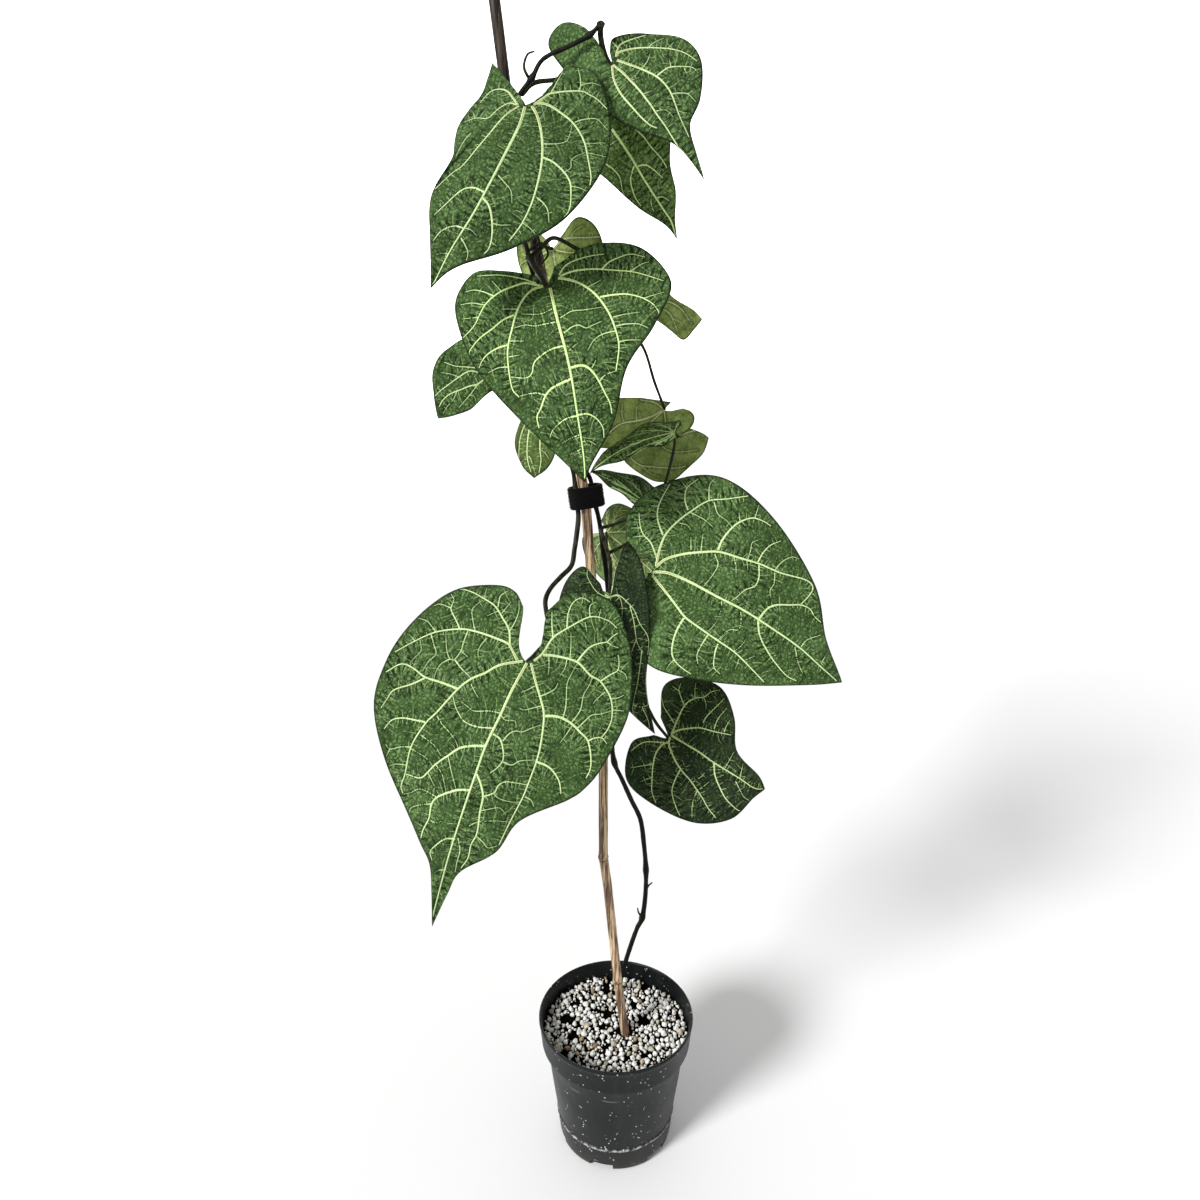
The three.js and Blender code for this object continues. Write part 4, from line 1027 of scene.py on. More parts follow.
# Tan below and stained dark above, with streaks along the fibres
def cane_paint():
    paint = Paint("bamboo_skin")
    _, _, up = paint.split(paint.coordinates)
    streak = paint.streaks(420.0, 4.0, 0.65, 0.06)
    fibre = paint.streaks(700.0, 4.0, 0.7, 0.04)
    blotch = paint.streaks(170.0, 5.0, 0.75, 0.35)
    tan = paint.coat(rgb(204, 176, 142), rgb(104, 80, 60), streak, 0.42, 0.58)
    tan = paint.coat(tan, rgb(46, 33, 23), fibre, 0.5, 0.62, 0.0, 0.85)
    brown = paint.coat(rgb(64, 52, 42), rgb(14, 11, 9), streak, 0.42, 0.58)
    brown = paint.coat(brown, rgb(150, 132, 108), blotch, 0.6, 0.7, 0.0, 0.8)
    stain = paint.math("ADD", paint.step(up, 0.5, 0.78, 0.0, 0.9), paint.math("SUBTRACT", blotch, 0.5))
    color = paint.coat(tan, brown, stain, 0.25, 0.6)
    color = paint.coat(color, rgb(58, 42, 28), paint.attribute("node_ring"), 0.2, 0.9, 0.0, 0.75)
    rough = paint.step(fibre, 0.3, 0.7, 0.35, 0.6)
    return paint.finish(color, rough, [(streak, 0.4, 0.0006), (fibre, 0.5, 0.0002)], 0.25)


def strap_paint():
    paint = Paint("strap_fleece")
    loops = paint.noise(1400.0, 4.0, 0.8)
    tufts = paint.cells(900.0, None, "F1")
    color = paint.coat(rgb(2, 2, 2), rgb(18, 18, 19), loops, 0.35, 0.7)
    return paint.finish(color, 0.92, [(loops, 1.0, 0.0008), (tufts, 0.6, 0.0005)], 0.05, 0.03)


# Dark plastic with splashed specks, a film near the foot, a chalky line on the ring and one scratch
def pot_paint():
    ring_level = 0.0215
    scratch_level = 0.08
    paint = Paint("pot_moulding")
    spread = paint.noise(14.0, 4.0, 0.6)
    grain = paint.noise(900.0, 3.0, 0.6)
    drawn = paint.streaks(60.0, 5.0, 0.6, 0.15)
    color = paint.coat(rgb(12, 15, 16), rgb(24, 28, 29), spread, 0.3, 0.7)
    color = paint.coat(color, rgb(46, 46, 45), drawn, 0.5, 0.75, 0.0, 0.35)
    _, _, up = paint.split(paint.coordinates)
    film = paint.product(paint.step(up, 0.0, 0.035, 0.5, 0.0), drawn)
    color = paint.mix(film, color, rgb(74, 70, 64))
    drift = paint.product(paint.noise(30.0, 2.0, 0.5), 0.008)
    line = paint.off(paint.math("ADD", up, drift), scratch_level)
    scratch = paint.product(paint.step(line, 0.0, 0.0008, 0.6, 0.0), paint.step(paint.noise(45.0), 0.5, 0.6))
    color = paint.mix(scratch, color, rgb(120, 122, 122))
    specks = paint.step(paint.cells(330.0, None, "F1"), 0.13, 0.22, 1.0, 0.0)
    dust = paint.product(specks, paint.step(paint.noise(140.0, 2.0, 0.5), 0.54, 0.6))
    level = paint.off(up, ring_level)
    ring = paint.product(paint.step(level, 0.0, 0.0022, 0.9, 0.0), paint.step(paint.noise(300.0), 0.42, 0.62))
    color = paint.mix(paint.math("MAXIMUM", dust, ring), color, rgb(206, 206, 202))
    rough = paint.step(spread, 0.3, 0.7, 0.36, 0.5)
    return paint.finish(color, rough, [(grain, 0.35, 0.0002), (drawn, 0.4, 0.0006)], 0.2)


def soil_paint():
    paint = Paint("peat_crumbs")
    crumbs = paint.noise(420.0, 6.0, 0.75)
    lumps = paint.cells(380.0, None, "F1")
    fibre = paint.noise(1100.0, 3.0, 0.7)
    color = paint.coat(rgb(2, 2, 1), rgb(14, 11, 8), crumbs, 0.35, 0.7)
    color = paint.coat(color, rgb(70, 55, 40), fibre, 0.68, 0.76, 0.0, 0.6)
    return paint.finish(color, 0.93, [(crumbs, 1.0, 0.002), (lumps, 0.8, 0.0012)], 0.04)


def grain_paint(name, light, shade, spot):
    paint = Paint(name)
    pits = paint.noise(900.0, 5.0, 0.75)
    cloud = paint.noise(260.0, 3.0, 0.6)
    color = paint.coat(light, shade, cloud, 0.4, 0.65)
    color = paint.coat(color, spot, pits, 0.62, 0.74, 0.0, 0.7)
    return paint.finish(color, 0.9, [(pits, 0.9, 0.0007), (cloud, 0.4, 0.0008)], 0.25)


# A row of colours given by their display values
def colors(*values):
    return [rgb(*value) for value in values]


# Leaves

class Blade:
    """A blade's middle surface. turn runs -1 to 1 round the edge, out runs 0 to 1 from stalk to edge."""

    def __init__(self, name):
        leaf = LEAVES[name]
        self.name = name
        self.leaf = leaf
        self.base = np.array(leaf["base"], float)
        midrib = np.array(leaf["tip"], float) - self.base
        self.length = np.linalg.norm(midrib)
        self.midrib = midrib / self.length
        face = np.array(leaf["face"], float)
        self.normal = unit(face - face.dot(self.midrib) * self.midrib)
        self.side = np.cross(self.normal, self.midrib)
        self.halves = [[(0, self.length)] + leaf[side][::-1] for side in ("left", "right")]

    def flat(self, turn, out):
        amount = np.abs(turn)
        left, right = (curve(half, amount) for half in self.halves)
        edge = np.where((turn < 0)[..., None], left, right)
        mirror = np.where(turn < 0, -1, 1)
        x, y = edge[..., 0], edge[..., 1]
        angle = np.arctan2(x, y)
        angle = np.where(angle < -np.pi / 2, angle + 2 * np.pi, angle)
        fan = np.where(turn < 0, *self.leaf.get("fan", (FAN, FAN)))
        angle = angle + FAN_SHARE * (1 - out)**2 * (fan * amount - angle)
        reach = out * np.hypot(x, y)
        return np.stack([mirror * reach * np.sin(angle), reach * np.cos(angle)], -1)

    def edge(self, count):
        return self.flat(np.linspace(-1, 1, count), np.ones(count))

    def solid(self, turn, out, offset=0.0):
        place = self.flat(turn, out)
        x, y = place[..., 0], place[..., 1]
        part = y / self.length
        leaf = self.leaf
        amount = np.abs(turn)
        lift = 4 * leaf["arch"] * part * (1 - part) * np.where(part < 0, LOBE_ARCH, 1)
        lift += np.where(turn < 0, *leaf["fold"]) * (np.hypot(x, FOLD_SOFTNESS) - FOLD_SOFTNESS)
        lift += leaf["cup"] * x * x / self.length
        lift += leaf["wave"] * out**3 * np.sin(2 * np.pi * EDGE_WAVES * amount) * (1 - amount**6)
        x, y, lift = x[..., None], y[..., None], (lift + offset)[..., None]
        return self.base + x * self.side + y * self.midrib + lift * self.normal

    def seen(self, turn, out):
        return to_pixels(self.solid(turn, out))


def to_pixels(points):
    away = points - CAMERA_PLACE
    forward = np.array([0, math.cos(CAMERA_PITCH), -math.sin(CAMERA_PITCH)])
    down = np.array([0, -math.sin(CAMERA_PITCH), -math.cos(CAMERA_PITCH)])
    depth = away @ forward
    return np.stack([away[..., 0], away @ down], -1) / depth[..., None] * FOCAL + FRAME_SIZE / 2


def tree_of(points):
    tree = KDTree(len(points))
    for i, (x, y) in enumerate(points):
        tree.insert((x, y, 0), i)
    tree.balance()
    return tree


# Area that two flat steps span, with its sign
def crossed(first, second):
    return first[:, 0] * second[:, 1] - first[:, 1] * second[:, 0]


# Changes of a place for a step in turn and for one in out
def slopes(place_of, turn, out, small):
    here = place_of(turn, out)
    return here, (place_of(turn + small, out) - here) / small, (place_of(turn, out + small) - here) / small


# Grid that the search for a place starts on, its rounds, and the most that one round moves turn and out
START_TURNS = np.linspace(-1, 1, 161)
START_OUTS = np.linspace(0.01, 0.98, 50)
SEARCH_ROUNDS = 8
TURN_MOVE = 0.03
OUT_MOVE = 0.04
LEAST_OUT = 0.004
MOST_OUT = 0.985


# Turn and out at which place_of gives the wanted places: a nearest start, then Newton steps
def solve(place_of, wanted, keep=None):
    turns, outs = np.meshgrid(START_TURNS, START_OUTS)
    turns, outs = turns.ravel(), outs.ravel()
    if keep is not None:
        kept = keep(turns, outs)
        turns, outs = turns[kept], outs[kept]
    tree = tree_of(place_of(turns, outs))
    nearest = np.array([tree.find((x, y, 0))[1] for x, y in wanted])
    turn, out = turns[nearest], outs[nearest]
    for _ in range(SEARCH_ROUNDS):
        here, by_turn, by_out = slopes(place_of, turn, out, 1e-4)
        gap = wanted - here
        area = crossed(by_turn, by_out)
        area = np.where(np.abs(area) < TINY, TINY, area)
        turn_step = crossed(gap, by_out) / area
        out_step = crossed(by_turn, gap) / area
        turn = np.clip(turn + np.clip(turn_step, -TURN_MOVE, TURN_MOVE), -1, 1)
        out = np.clip(out + np.clip(out_step, -OUT_MOVE, OUT_MOVE), LEAST_OUT, MOST_OUT)
    return turn, out


# Whether the side that the camera sees is turned to it there
def faces_camera(blade):
    way = -1 if blade.leaf["face"][1] > 0 else 1

    def keep(turn, out):
        _, by_turn, by_out = slopes(blade.seen, turn, out, 1e-3)
        return way * crossed(by_turn, by_out) > 0

    return keep


# Points on each span of a vein read off the photograph
SPAN_STEPS = 12


# Veins of a blade as (width in mm, flat line), main ones first
def photographed_veins(blade):
    routes = []
    for width, *places in VEINS[blade.name]:
        spans = len(places) - 1
        routes.append((width, curve(places, np.linspace(0, 1, SPAN_STEPS * spans + 1))))
    every = np.vstack([line for _, line in routes])
    flat = blade.flat(*solve(blade.seen, every, faces_camera(blade)))
    ends = np.cumsum([len(line) for _, line in routes])[:-1]
    return [(width, line) for (width, _), line in zip(routes, np.split(flat, ends))]


# Turns of the main veins of a blade whose veins the photograph hardly shows. Such a blade has side veins in
# pairs: how many pairs, and how far they spread, on the midrib and on the others.
DRAWN_MAINS = (0.0, -0.33, 0.33, -0.6, 0.6, -0.84, 0.84)
MIDRIB_PAIRS = (4, 0.12)
OTHER_PAIRS = (3, 0.085)
USUAL_LENGTH = 100


def drawn_veins(blade, draw):
    veins = []
    size = math.sqrt(blade.length / USUAL_LENGTH)
    for main in DRAWN_MAINS:
        main += draw.uniform(-0.02, 0.02)
        out = np.linspace(0.015, 0.95, 24)
        turn = main + 0.02 * np.sin(3 * out + draw.uniform(0, 6))
        veins.append(((1.7 - 0.5 * abs(main)) * size, blade.flat(turn, out)))
    u = np.linspace(0, 1, 12)
    for main in DRAWN_MAINS:
        branches, spread = MIDRIB_PAIRS if main == 0 else OTHER_PAIRS
        for k in range(branches):
            for way in (-1, 1):
                start = 0.26 + 0.62 * (k + 0.5 * (way > 0)) / branches + draw.uniform(-0.03, 0.03)
                reach = spread * draw.uniform(0.8, 1.2)
                out = np.minimum(start + (0.97 - start) * 0.55 * u, 0.955)
                turn = np.clip(main + way * reach * u**0.8, -0.98, 0.98)
                veins.append((0.95 * size, blade.flat(turn, out)))
    return veins


# Barbs beside the veins, in mm. Most are short and some long. They stand closer on a strong vein.

STRONG_VEIN = 1.2
BARB_PITCH_SEEN = 2.7
BARB_PITCH_DRAWN = 3.2
THIN_VEIN_PITCH = 2.2
BARB_STEP = 0.9
PLACE_STEP = 0.5
SHORT_SHARE = 0.78
SHORT_BARB = {"length": (1.4, 3.6), "width": 0.68}
LONG_BARB = {"length": (4.5, 10), "width": 0.52}
EDGE_MARGIN = 1.5
MEETING = 0.8


# One barb from a point: it ends near the blade's edge, or where it meets another vein
def barb(point, heading, limit, draw, meets, near_edge):
    route = [point]
    bend = draw.uniform(-0.05, 0.05)
    for _ in range(int(limit / BARB_STEP)):
        turned_left = np.array([-heading[1], heading[0]])
        heading = unit(heading + bend * turned_left + draw.normal(0, 0.07, 2))
        point = point + BARB_STEP * heading
        if near_edge(point):
            break
        route.append(point)
        if meets(point):
            break
    return route


def barbs_beside(blade, veins, draw, pitch):
    lines = []
    samples = [even_steps(line, BARB_STEP) for _, line in veins]
    owners = np.repeat(np.arange(len(veins)), [len(line) for line in samples])
    tree = tree_of(np.vstack(samples))
    notch = np.linspace(0.2, 1, 41)
    notch_sides = [blade.flat(np.full(len(notch), side), notch) for side in (-1.0, 1.0)]
    border = tree_of(np.vstack([blade.edge(241)] + notch_sides))

    def near_edge(point):
        return border.find((*point, 0))[2] < EDGE_MARGIN

    for owner, (width, line) in enumerate(veins):
        def meets(point):
            _, index, distance = tree.find((*point, 0))
            return distance < MEETING and owners[index] != owner

        line = even_steps(line, PLACE_STEP)
        place = draw.uniform(1.5, 3.0)
        while place < PLACE_STEP * (len(line) - 3):
            i = int(place / PLACE_STEP)
            ahead = unit(line[i + 1] - line[max(i - 1, 0)])
            for way in (-1, 1):
                across = way * np.array([-ahead[1], ahead[0]])
                heading = unit(across + draw.uniform(-0.1, 0.45) * ahead)
                kind = SHORT_BARB if draw.random() < SHORT_SHARE else LONG_BARB
                limit = draw.uniform(*kind["length"]) * (0.6 + 0.4 * min(width, 1.6))
                route = barb(line[i] + heading * width * 0.4, heading, limit, draw, meets, near_edge)
                if len(route) > 1:
                    lines.append((kind["width"], np.array(route)))
            sparser = 1 if width >= STRONG_VEIN else THIN_VEIN_PITCH
            place += sparser * pitch * draw.uniform(0.6, 1.4)
    return lines


# Distance from each flat place to the nearest point of the lines
def distance_to(lines, places, step, limit):
    tree = tree_of(np.vstack([even_steps(line, step) for _, line in lines]))
    return np.array([min(tree.find((x, y, 0))[2], limit) for x, y in places])


# How far along the nearest strong vein each flat place lies, and how far from it.
# Each vein starts at its own count, so that the furrows of two don't line up.
def along_veins(veins, places):
    step = 0.8
    vein_start = 37.7
    strong = [line for width, line in veins if width >= STRONG_VEIN] or [line for _, line in veins]
    lines = [even_steps(line, step) for line in strong]
    samples = np.vstack(lines)
    ahead = np.vstack([headings(line) for line in lines])
    reaches = np.concatenate([step * np.arange(len(line)) + vein_start * k for k, line in enumerate(lines)])
    tree = tree_of(samples)
    found = [tree.find((x, y, 0)) for x, y in places]
    nearest = np.array([index for _, index, _ in found])
    distance = np.array([reach for _, _, reach in found])
    return reaches[nearest] + ((places - samples[nearest]) * ahead[nearest]).sum(1), distance


# Step at which veins and barbs are searched, and the farthest distance that counts, in mm
VEIN_SEARCH = (0.8, 9.0)
BARB_SEARCH = (0.6, 4.0)

# Relief of a blade in mm: how high it swells between veins and between barbs, and how wide the dip beside
# them is, its unevenness, the height of its furrows, and how far the whole is sunk
PUFF, PUFF_DIP = 0.75, 2.4
SMALL_PUFF, SMALL_PUFF_DIP = 0.25, 0.9
UNEVEN = 0.3
FURROW = 0.22
SUNK = 0.35


class Ground:
    """Distances of flat places to the veins and barbs, and the height of the puckered surface there."""

    def __init__(self, veins, barbs, seed, places, out):
        self.near_vein = distance_to(veins, places, *VEIN_SEARCH)
        self.near_barb = distance_to(veins + barbs, places, *BARB_SEARCH)
        self.along, self.near_strong = along_veins(veins, places)
        self.lift = self.relief(places, out, seed)

    # It swells between the veins, and shallow furrows cross it like the rungs of a ladder
    def relief(self, places, out, seed):
        puff = PUFF * (1 - bump(self.near_vein, PUFF_DIP))
        small = SMALL_PUFF * (1 - bump(self.near_barb, SMALL_PUFF_DIP))
        uneven = UNEVEN * waves(places, 6.0, seed) * np.clip(self.near_vein / 3, 0, 1)
        window = np.clip((self.near_strong - 0.6) / 0.8, 0, 1) * np.clip((8 - self.near_strong) / 3, 0, 1)
        turns = self.along / FURROW_STEP + 0.4 * waves(places, 14.0, seed + 50)
        furrows = FURROW * np.cos(2 * np.pi * turns) * window
        calm = np.clip(out / 0.08, 0, 1) * np.clip((1 - out) / 0.03, 0, 1)
        return calm * (puff + small + uneven + furrows - SUNK)


# Turns that lie an equal way apart along the edge
def edge_turns(blade, columns):
    turn = np.linspace(-1, 1, 1201)
    reach = reach_along(blade.flat(turn, np.ones(len(turn))))
    return np.interp(np.linspace(0, reach[-1], columns + 1), reach, turn)


# Columns of a ring of the blade grid: fewer near the stalk
def columns_at(out, columns):
    for beyond, divisor in ((0.5, 1), (0.25, 2), (0.11, 4)):
        if out > beyond:
            return columns // divisor
    return columns // 8


# Grid of a blade. Returns turn, out, triangles and the border.
def blade_grid(turns, rings):
    outs = np.linspace(0, 1, rings + 1)[1:]
    counts = [columns_at(out, len(turns) - 1) for out in outs]
    turn = [np.zeros(1)] + [turns[::(len(turns) - 1) // count] for count in counts]
    out = [np.zeros(1)] + [np.full(count + 1, o) for o, count in zip(outs, counts)]
    starts = list(1 + np.cumsum([0] + [count + 1 for count in counts[:-1]]))
    first = np.arange(counts[0])
    faces = [np.stack([np.zeros(counts[0], int), starts[0] + first, starts[0] + first + 1], 1)]
    for j in range(1, rings):
        i = np.arange(counts[j - 1])
        finer = counts[j] // counts[j - 1]
        low = starts[j - 1] + i
        high = starts[j] + finer * i
        faces.append(np.stack([low, high, high + 1], 1))
        faces.append(np.stack([low, high + 1, low + 1], 1))
        if finer == 2:
            faces.append(np.stack([low + 1, high + 1, high + 2], 1))
    left = [0] + starts[:-1]
    last_ring = list(range(starts[-1], starts[-1] + counts[-1]))
    right = [start + count for start, count in zip(starts, counts)][::-1]
    return np.concatenate(turn), np.concatenate(out), np.vstack(faces), np.array(left + last_ring + right)


# Cells of the blade grid, and the ribs on it, in mm
CELL = 1.1
RIB_STEP = 1.4
RIB_WIDTH_SHARE = 0.88
RIB_END_SHARE = 0.4
THIN_RIB = 0.75
WIDE_RIB = 1.2
FAR_FROM_EDGE = 9.0

# Sections of ribs: share of the half width, height over the surface as a share of the width
VEIN_SECTION = [(-1.25, -0.35), (-0.85, 0.1), (0, 0.26), (0.85, 0.1), (1.25, -0.35)]
BARB_SECTION = [(-1.3, -0.25), (0, 0.28), (1.3, -0.25)]

# Material slots of a leaf: blade above and below, then ribs above, and the same three below
ABOVE, BELOW, STRONG_RIB, SIDE_RIB, BARB = range(5)
RIBS_BELOW = 3


def add_sheet(parts, blade, ground_at):
    outline = blade.edge(400)
    columns = 8 * max(int(reach_along(outline)[-1] / CELL / 8), 8)
    rings = max(int(np.linalg.norm(outline, axis=1).mean() / CELL), 16)
    turn, out, faces, border = blade_grid(edge_turns(blade, columns), rings)
    place = blade.flat(turn, out)
    ground = ground_at(place, out)
    to_edge = (1 - out) * np.linalg.norm(place, axis=1) / np.maximum(out, 0.05)
    for side, slot in ((1, ABOVE), (-1, BELOW)):
        points = blade.solid(turn, out, ground.lift + side * HALF_THICKNESS)
        parts.add(points, faces[:, ::side], slot, leaf_place=np.column_stack([place, np.zeros(len(place))]),
                  vein_place=np.zeros((len(place), 3)), to_vein=ground.near_vein, to_rung=ground.near_barb,
                  to_edge=to_edge, to_strong=ground.near_strong, along=ground.along)
    upper = border
    lower = border + len(place)
    rim = np.vstack([np.stack([upper, lower, np.roll(lower, -1)], 1),
                     np.stack([upper, np.roll(lower, -1), np.roll(upper, -1)], 1)])
    parts.faces.append(rim)
    parts.slots.append(np.full(len(rim), ABOVE))


def add_ribs(parts, blade, veins, barbs, ground_at):
    slots = [STRONG_RIB if width >= STRONG_VEIN else SIDE_RIB for width, _ in veins] + [BARB] * len(barbs)
    ribs = []
    for slot, (width, line) in zip(slots, veins + barbs):
        section = BARB_SECTION if slot == BARB else VEIN_SECTION
        wide = RIB_WIDTH_SHARE * width * np.linspace(1, RIB_END_SHARE, len(line))
        ahead = headings(line)
        across = np.stack([-ahead[:, 1], ahead[:, 0]], 1)
        rows = [line + across * (share * wide / 2)[:, None] for share, _ in section]
        ribs.append((slot, section, line, wide, np.stack(rows, 1).reshape(-1, 2)))
    every = np.vstack([spot for *_, spot in ribs])
    turn, out = solve(blade.flat, every)
    under = ground_at(every, out).lift
    start = 0
    for slot, section, line, wide, spot in ribs:
        some = slice(start, start + len(spot))
        start += len(spot)
        wide = np.repeat(wide, len(section))
        share, height = np.tile(section, (len(line), 1)).T
        height = height * np.clip(wide, 0 if slot == BARB else THIN_RIB, WIDE_RIB)
        vein_place = np.stack([share, np.repeat(np.linalg.norm(line, axis=1), len(section)), wide], 1)
        none = np.zeros(len(spot))
        faces = skin(len(line), len(section), False)
        for side in (1, -1):
            if side < 0 and slot == BARB and blade.name not in SEEN_FROM_BELOW:
                continue
            points = blade.solid(turn[some], out[some], under[some] + side * (HALF_THICKNESS + height))
            parts.add(points, faces[:, ::-side], slot if side > 0 else slot + RIBS_BELOW,
                      leaf_place=np.column_stack([spot, none]), vein_place=vein_place, to_vein=none,
                      to_rung=none, to_edge=np.full(len(spot), FAR_FROM_EDGE), to_strong=none, along=none)


def make_leaf(name, seed, materials):
    blade = Blade(name)
    draw = np.random.default_rng(seed)
    seen = name in VEINS
    veins = photographed_veins(blade) if seen else drawn_veins(blade, draw)
    veins = [(width, even_steps(line, RIB_STEP)) for width, line in veins]
    barbs = barbs_beside(blade, veins, draw, BARB_PITCH_SEEN if seen else BARB_PITCH_DRAWN)

    def ground_at(places, out):
        return Ground(veins, barbs, seed, places, out)

    parts = Parts()
    add_sheet(parts, blade, ground_at)
    add_ribs(parts, blade, veins, barbs, ground_at)
    piece = parts.piece(f"{name}_leaf", materials)
    stand_for(piece, f"leaf_{name}")


above_veins = [
    vein_paint("vein_lime", *colors((206, 226, 168), (172, 198, 130), (150, 128, 88)), 22),
    vein_paint("vein_side", *colors((186, 212, 150), (152, 180, 114), (128, 150, 84)), 1),
    vein_paint("rung_green", *colors((152, 182, 118), (118, 150, 88), (104, 130, 76)), 1),
]
# Painted light: brighter copies of the upper veins for leaves tilted from the lamp or lying in shade
painted_lit_veins = [
    vein_paint("vein_lime_lit", *colors((220, 246, 172), (186, 218, 132), (168, 158, 100)), 18),
    vein_paint("vein_side_lit", *colors((200, 232, 158), (166, 200, 122), (128, 150, 84)), 1),
    vein_paint("rung_green_lit", *colors((156, 184, 122), (124, 154, 92), (104, 130, 76)), 1),
]
# Painted light: the lower veins are brightened, as that side is mostly seen in shade
brightened_below_veins = [
    vein_paint("vein_under", *colors((228, 236, 190), (196, 206, 144), (120, 106, 56)), 20),
    vein_paint("vein_under_side", *colors((208, 218, 160), (172, 184, 118), (120, 128, 66)), 1),
    vein_paint("rung_under", *colors((170, 184, 120), (140, 154, 90), (104, 114, 58)), 1),
]
fresh = blade_paint("blade_green", *colors(
    (102, 134, 77), (80, 109, 57), (36, 58, 23), (12, 23, 6), (120, 150, 95)))
# Painted light: a brighter copy of the upper side for leaves that lie in the shade of other leaves
shaded = blade_paint("blade_brightened_for_shade", *colors(
    (124, 154, 88), (104, 134, 70), (56, 82, 34), (18, 32, 8), (142, 170, 108)))
deep = blade_paint("blade_dark", *colors(
    (66, 84, 50), (46, 62, 36), (20, 32, 14), (7, 13, 5), (88, 108, 70)))
# Lower sides. Painted light: the usual olive is brightened for lower sides that face away from the lamp and
# lie in shade, and the pale green is brightened the same way; the lit olive is the plain one, for a lower
# side that faces the lamp.
olive_brightened_for_shade = underside_paint("blade_under", *colors((156, 176, 100), (104, 122, 60), (186, 202, 134)))
lit_olive = underside_paint("blade_under_lit", *colors((84, 102, 50), (58, 76, 35), (114, 130, 76)))
pale = underside_paint("blade_under_pale", *colors((128, 154, 98), (96, 124, 74), (164, 184, 130)))

# Leaves whose upper side, lower side or veins differ from the usual ones: a darker green upper side; painted
# light as brighter upper sides and veins for leaves in shade or tilted from the lamp; a paler lower side
# brightened the same way; and the plain olive lower side for the hanging leaf that faces the lamp
TOPS = {"small_right": deep, "low_centre": deep, "crown_back": shaded, "folded": shaded}
BOTTOMS = {"back_pale": pale, "small_hanging": lit_olive}
PAINTED_LIT_VEIN_LEAVES = ("middle_front", "crown_back", "folded")
FIRST_SEED = 3

for seed, name in enumerate(LEAVES, FIRST_SEED):
    sides = [TOPS.get(name, fresh), BOTTOMS.get(name, olive_brightened_for_shade)]
    if name in TURNED_OVER:
        sides.reverse()
    make_leaf(name, seed, sides + (painted_lit_veins if name in PAINTED_LIT_VEIN_LEAVES else above_veins) + brightened_below_veins)


# Stem, stalks and tendrils: one grown piece

STEM_SIDES = 18
STALK_SIDES = 14
TENDRIL_SIDES = 10
STEM_STEPS = 10
STALK_STEPS = 12
STEM_UNEVEN = 0.05
STALK_UNEVEN = 0.04
LUMP_SIZE = 9.0
RIDGES = 3
RIDGE_HEIGHT = 0.05


# A tube with low ridges along it and an uneven thickness
def knotted(stations, radii, sides, seed, rough):
    wobble = 1 + rough * waves(stations, LUMP_SIZE, seed)
    ridges = 1 + RIDGE_HEIGHT * np.sin(2 * np.pi * RIDGES * np.arange(sides) / sides)
    return tube(stations, (radii * wobble)[:, None] * ridges[None, :], sides)


def make_stem():
    parts = Parts()
    spans = len(STEM_ROUTE) - 1
    t = np.linspace(0, 1, spans * STEM_STEPS + 1)
    to_node = np.abs((t * spans)[:, None] - np.array(STEM_NODES)[None, :]).min(axis=1)
    radii = STEM_BASE_RADIUS + (STEM_TIP_RADIUS - STEM_BASE_RADIUS) * t
    radii += STEM_NODE_SWELL * bump(to_node, 0.22)
    parts.add(*knotted(curve(STEM_ROUTE, t), radii, STEM_SIDES, 5, STEM_UNEVEN), 0)
    for seed, (name, (radius, route)) in enumerate(STALKS.items(), 20):
        blade = Blade(name)
        end = blade.base - (0.4 + GAP + 0.8 * radius) * blade.normal
        t = np.linspace(0, 1, STALK_STEPS * len(route) + 1)
        radii = radius * (1.25 - 0.25 * t) + 0.5 * radius * bump(t, 0.06)
        parts.add(*knotted(curve(route + [tuple(end)], t), radii, STALK_SIDES, seed, STALK_UNEVEN), 1)
    t = np.linspace(0, 1, 19)
    for route in TENDRILS:
        parts.add(*tube(curve(route, t), TENDRIL_RADIUS * (1.2 - 0.6 * t), TENDRIL_SIDES), 1)
    stand_for(parts.piece("grown_stem", [stem_paint(), stalk_paint()]), "vine_stem")


# Cane

CANE_SIDES = 36
CANE_STEP = 3


def height_point(height):
    route = np.array(CANE_ROUTE, float)
    return np.array([np.interp(height, route[:, 2], route[:, k]) for k in range(3)])


# Stations and radii of the cane with extra thickness, and where the scar below each node lies
def cane_shape(extra, step):
    foot, top = CANE_ROUTE[0][2], CANE_ROUTE[-1][2]
    heights = list(np.arange(foot, top, step))
    for node in CANE_NODE_HEIGHTS:
        heights += list(node + np.linspace(-4, 4, 17))
    heights = np.array(sorted(set(np.round(heights + [top], 2))))
    signed = heights[None, :] - np.array(CANE_NODE_HEIGHTS)[:, None]
    from_node = signed[np.abs(signed).argmin(axis=0), np.arange(len(heights))]
    ridge = bump(from_node, 1.1) - 0.45 * bump(from_node + 2, 0.5)
    swell = 0.35 * bump(from_node, 3.2)
    radii = CANE_RADIUS - 0.12 + (CANE_NODE_RADIUS - CANE_RADIUS) * (0.7 * ridge + swell) + extra
    stations = np.array([height_point(height) for height in heights])
    return stations, radii, bump(from_node + 1.9, 0.7)


def make_cane():
    stations, radii, scar = cane_shape(0, CANE_STEP)
    wobble = 1 + 0.012 * waves(stations, 40, 8)
    parts = Parts()
    node_ring = np.concatenate([np.repeat(scar, CANE_SIDES), [0, 0]])
    parts.add(*tube(stations, radii * wobble, CANE_SIDES), 0, node_ring=node_ring)
    stand_for(parts.piece("cane_culm", [cane_paint()]), "bamboo_cane")


# Tie: a strap round cane and stem whose end laps over its start, with a fleece of short loose loops

TIE_STEPS = 96
TIE_LOOPS = 1500
LOOP_RADIUS = 0.07
LOOP_LENGTH = 0.75


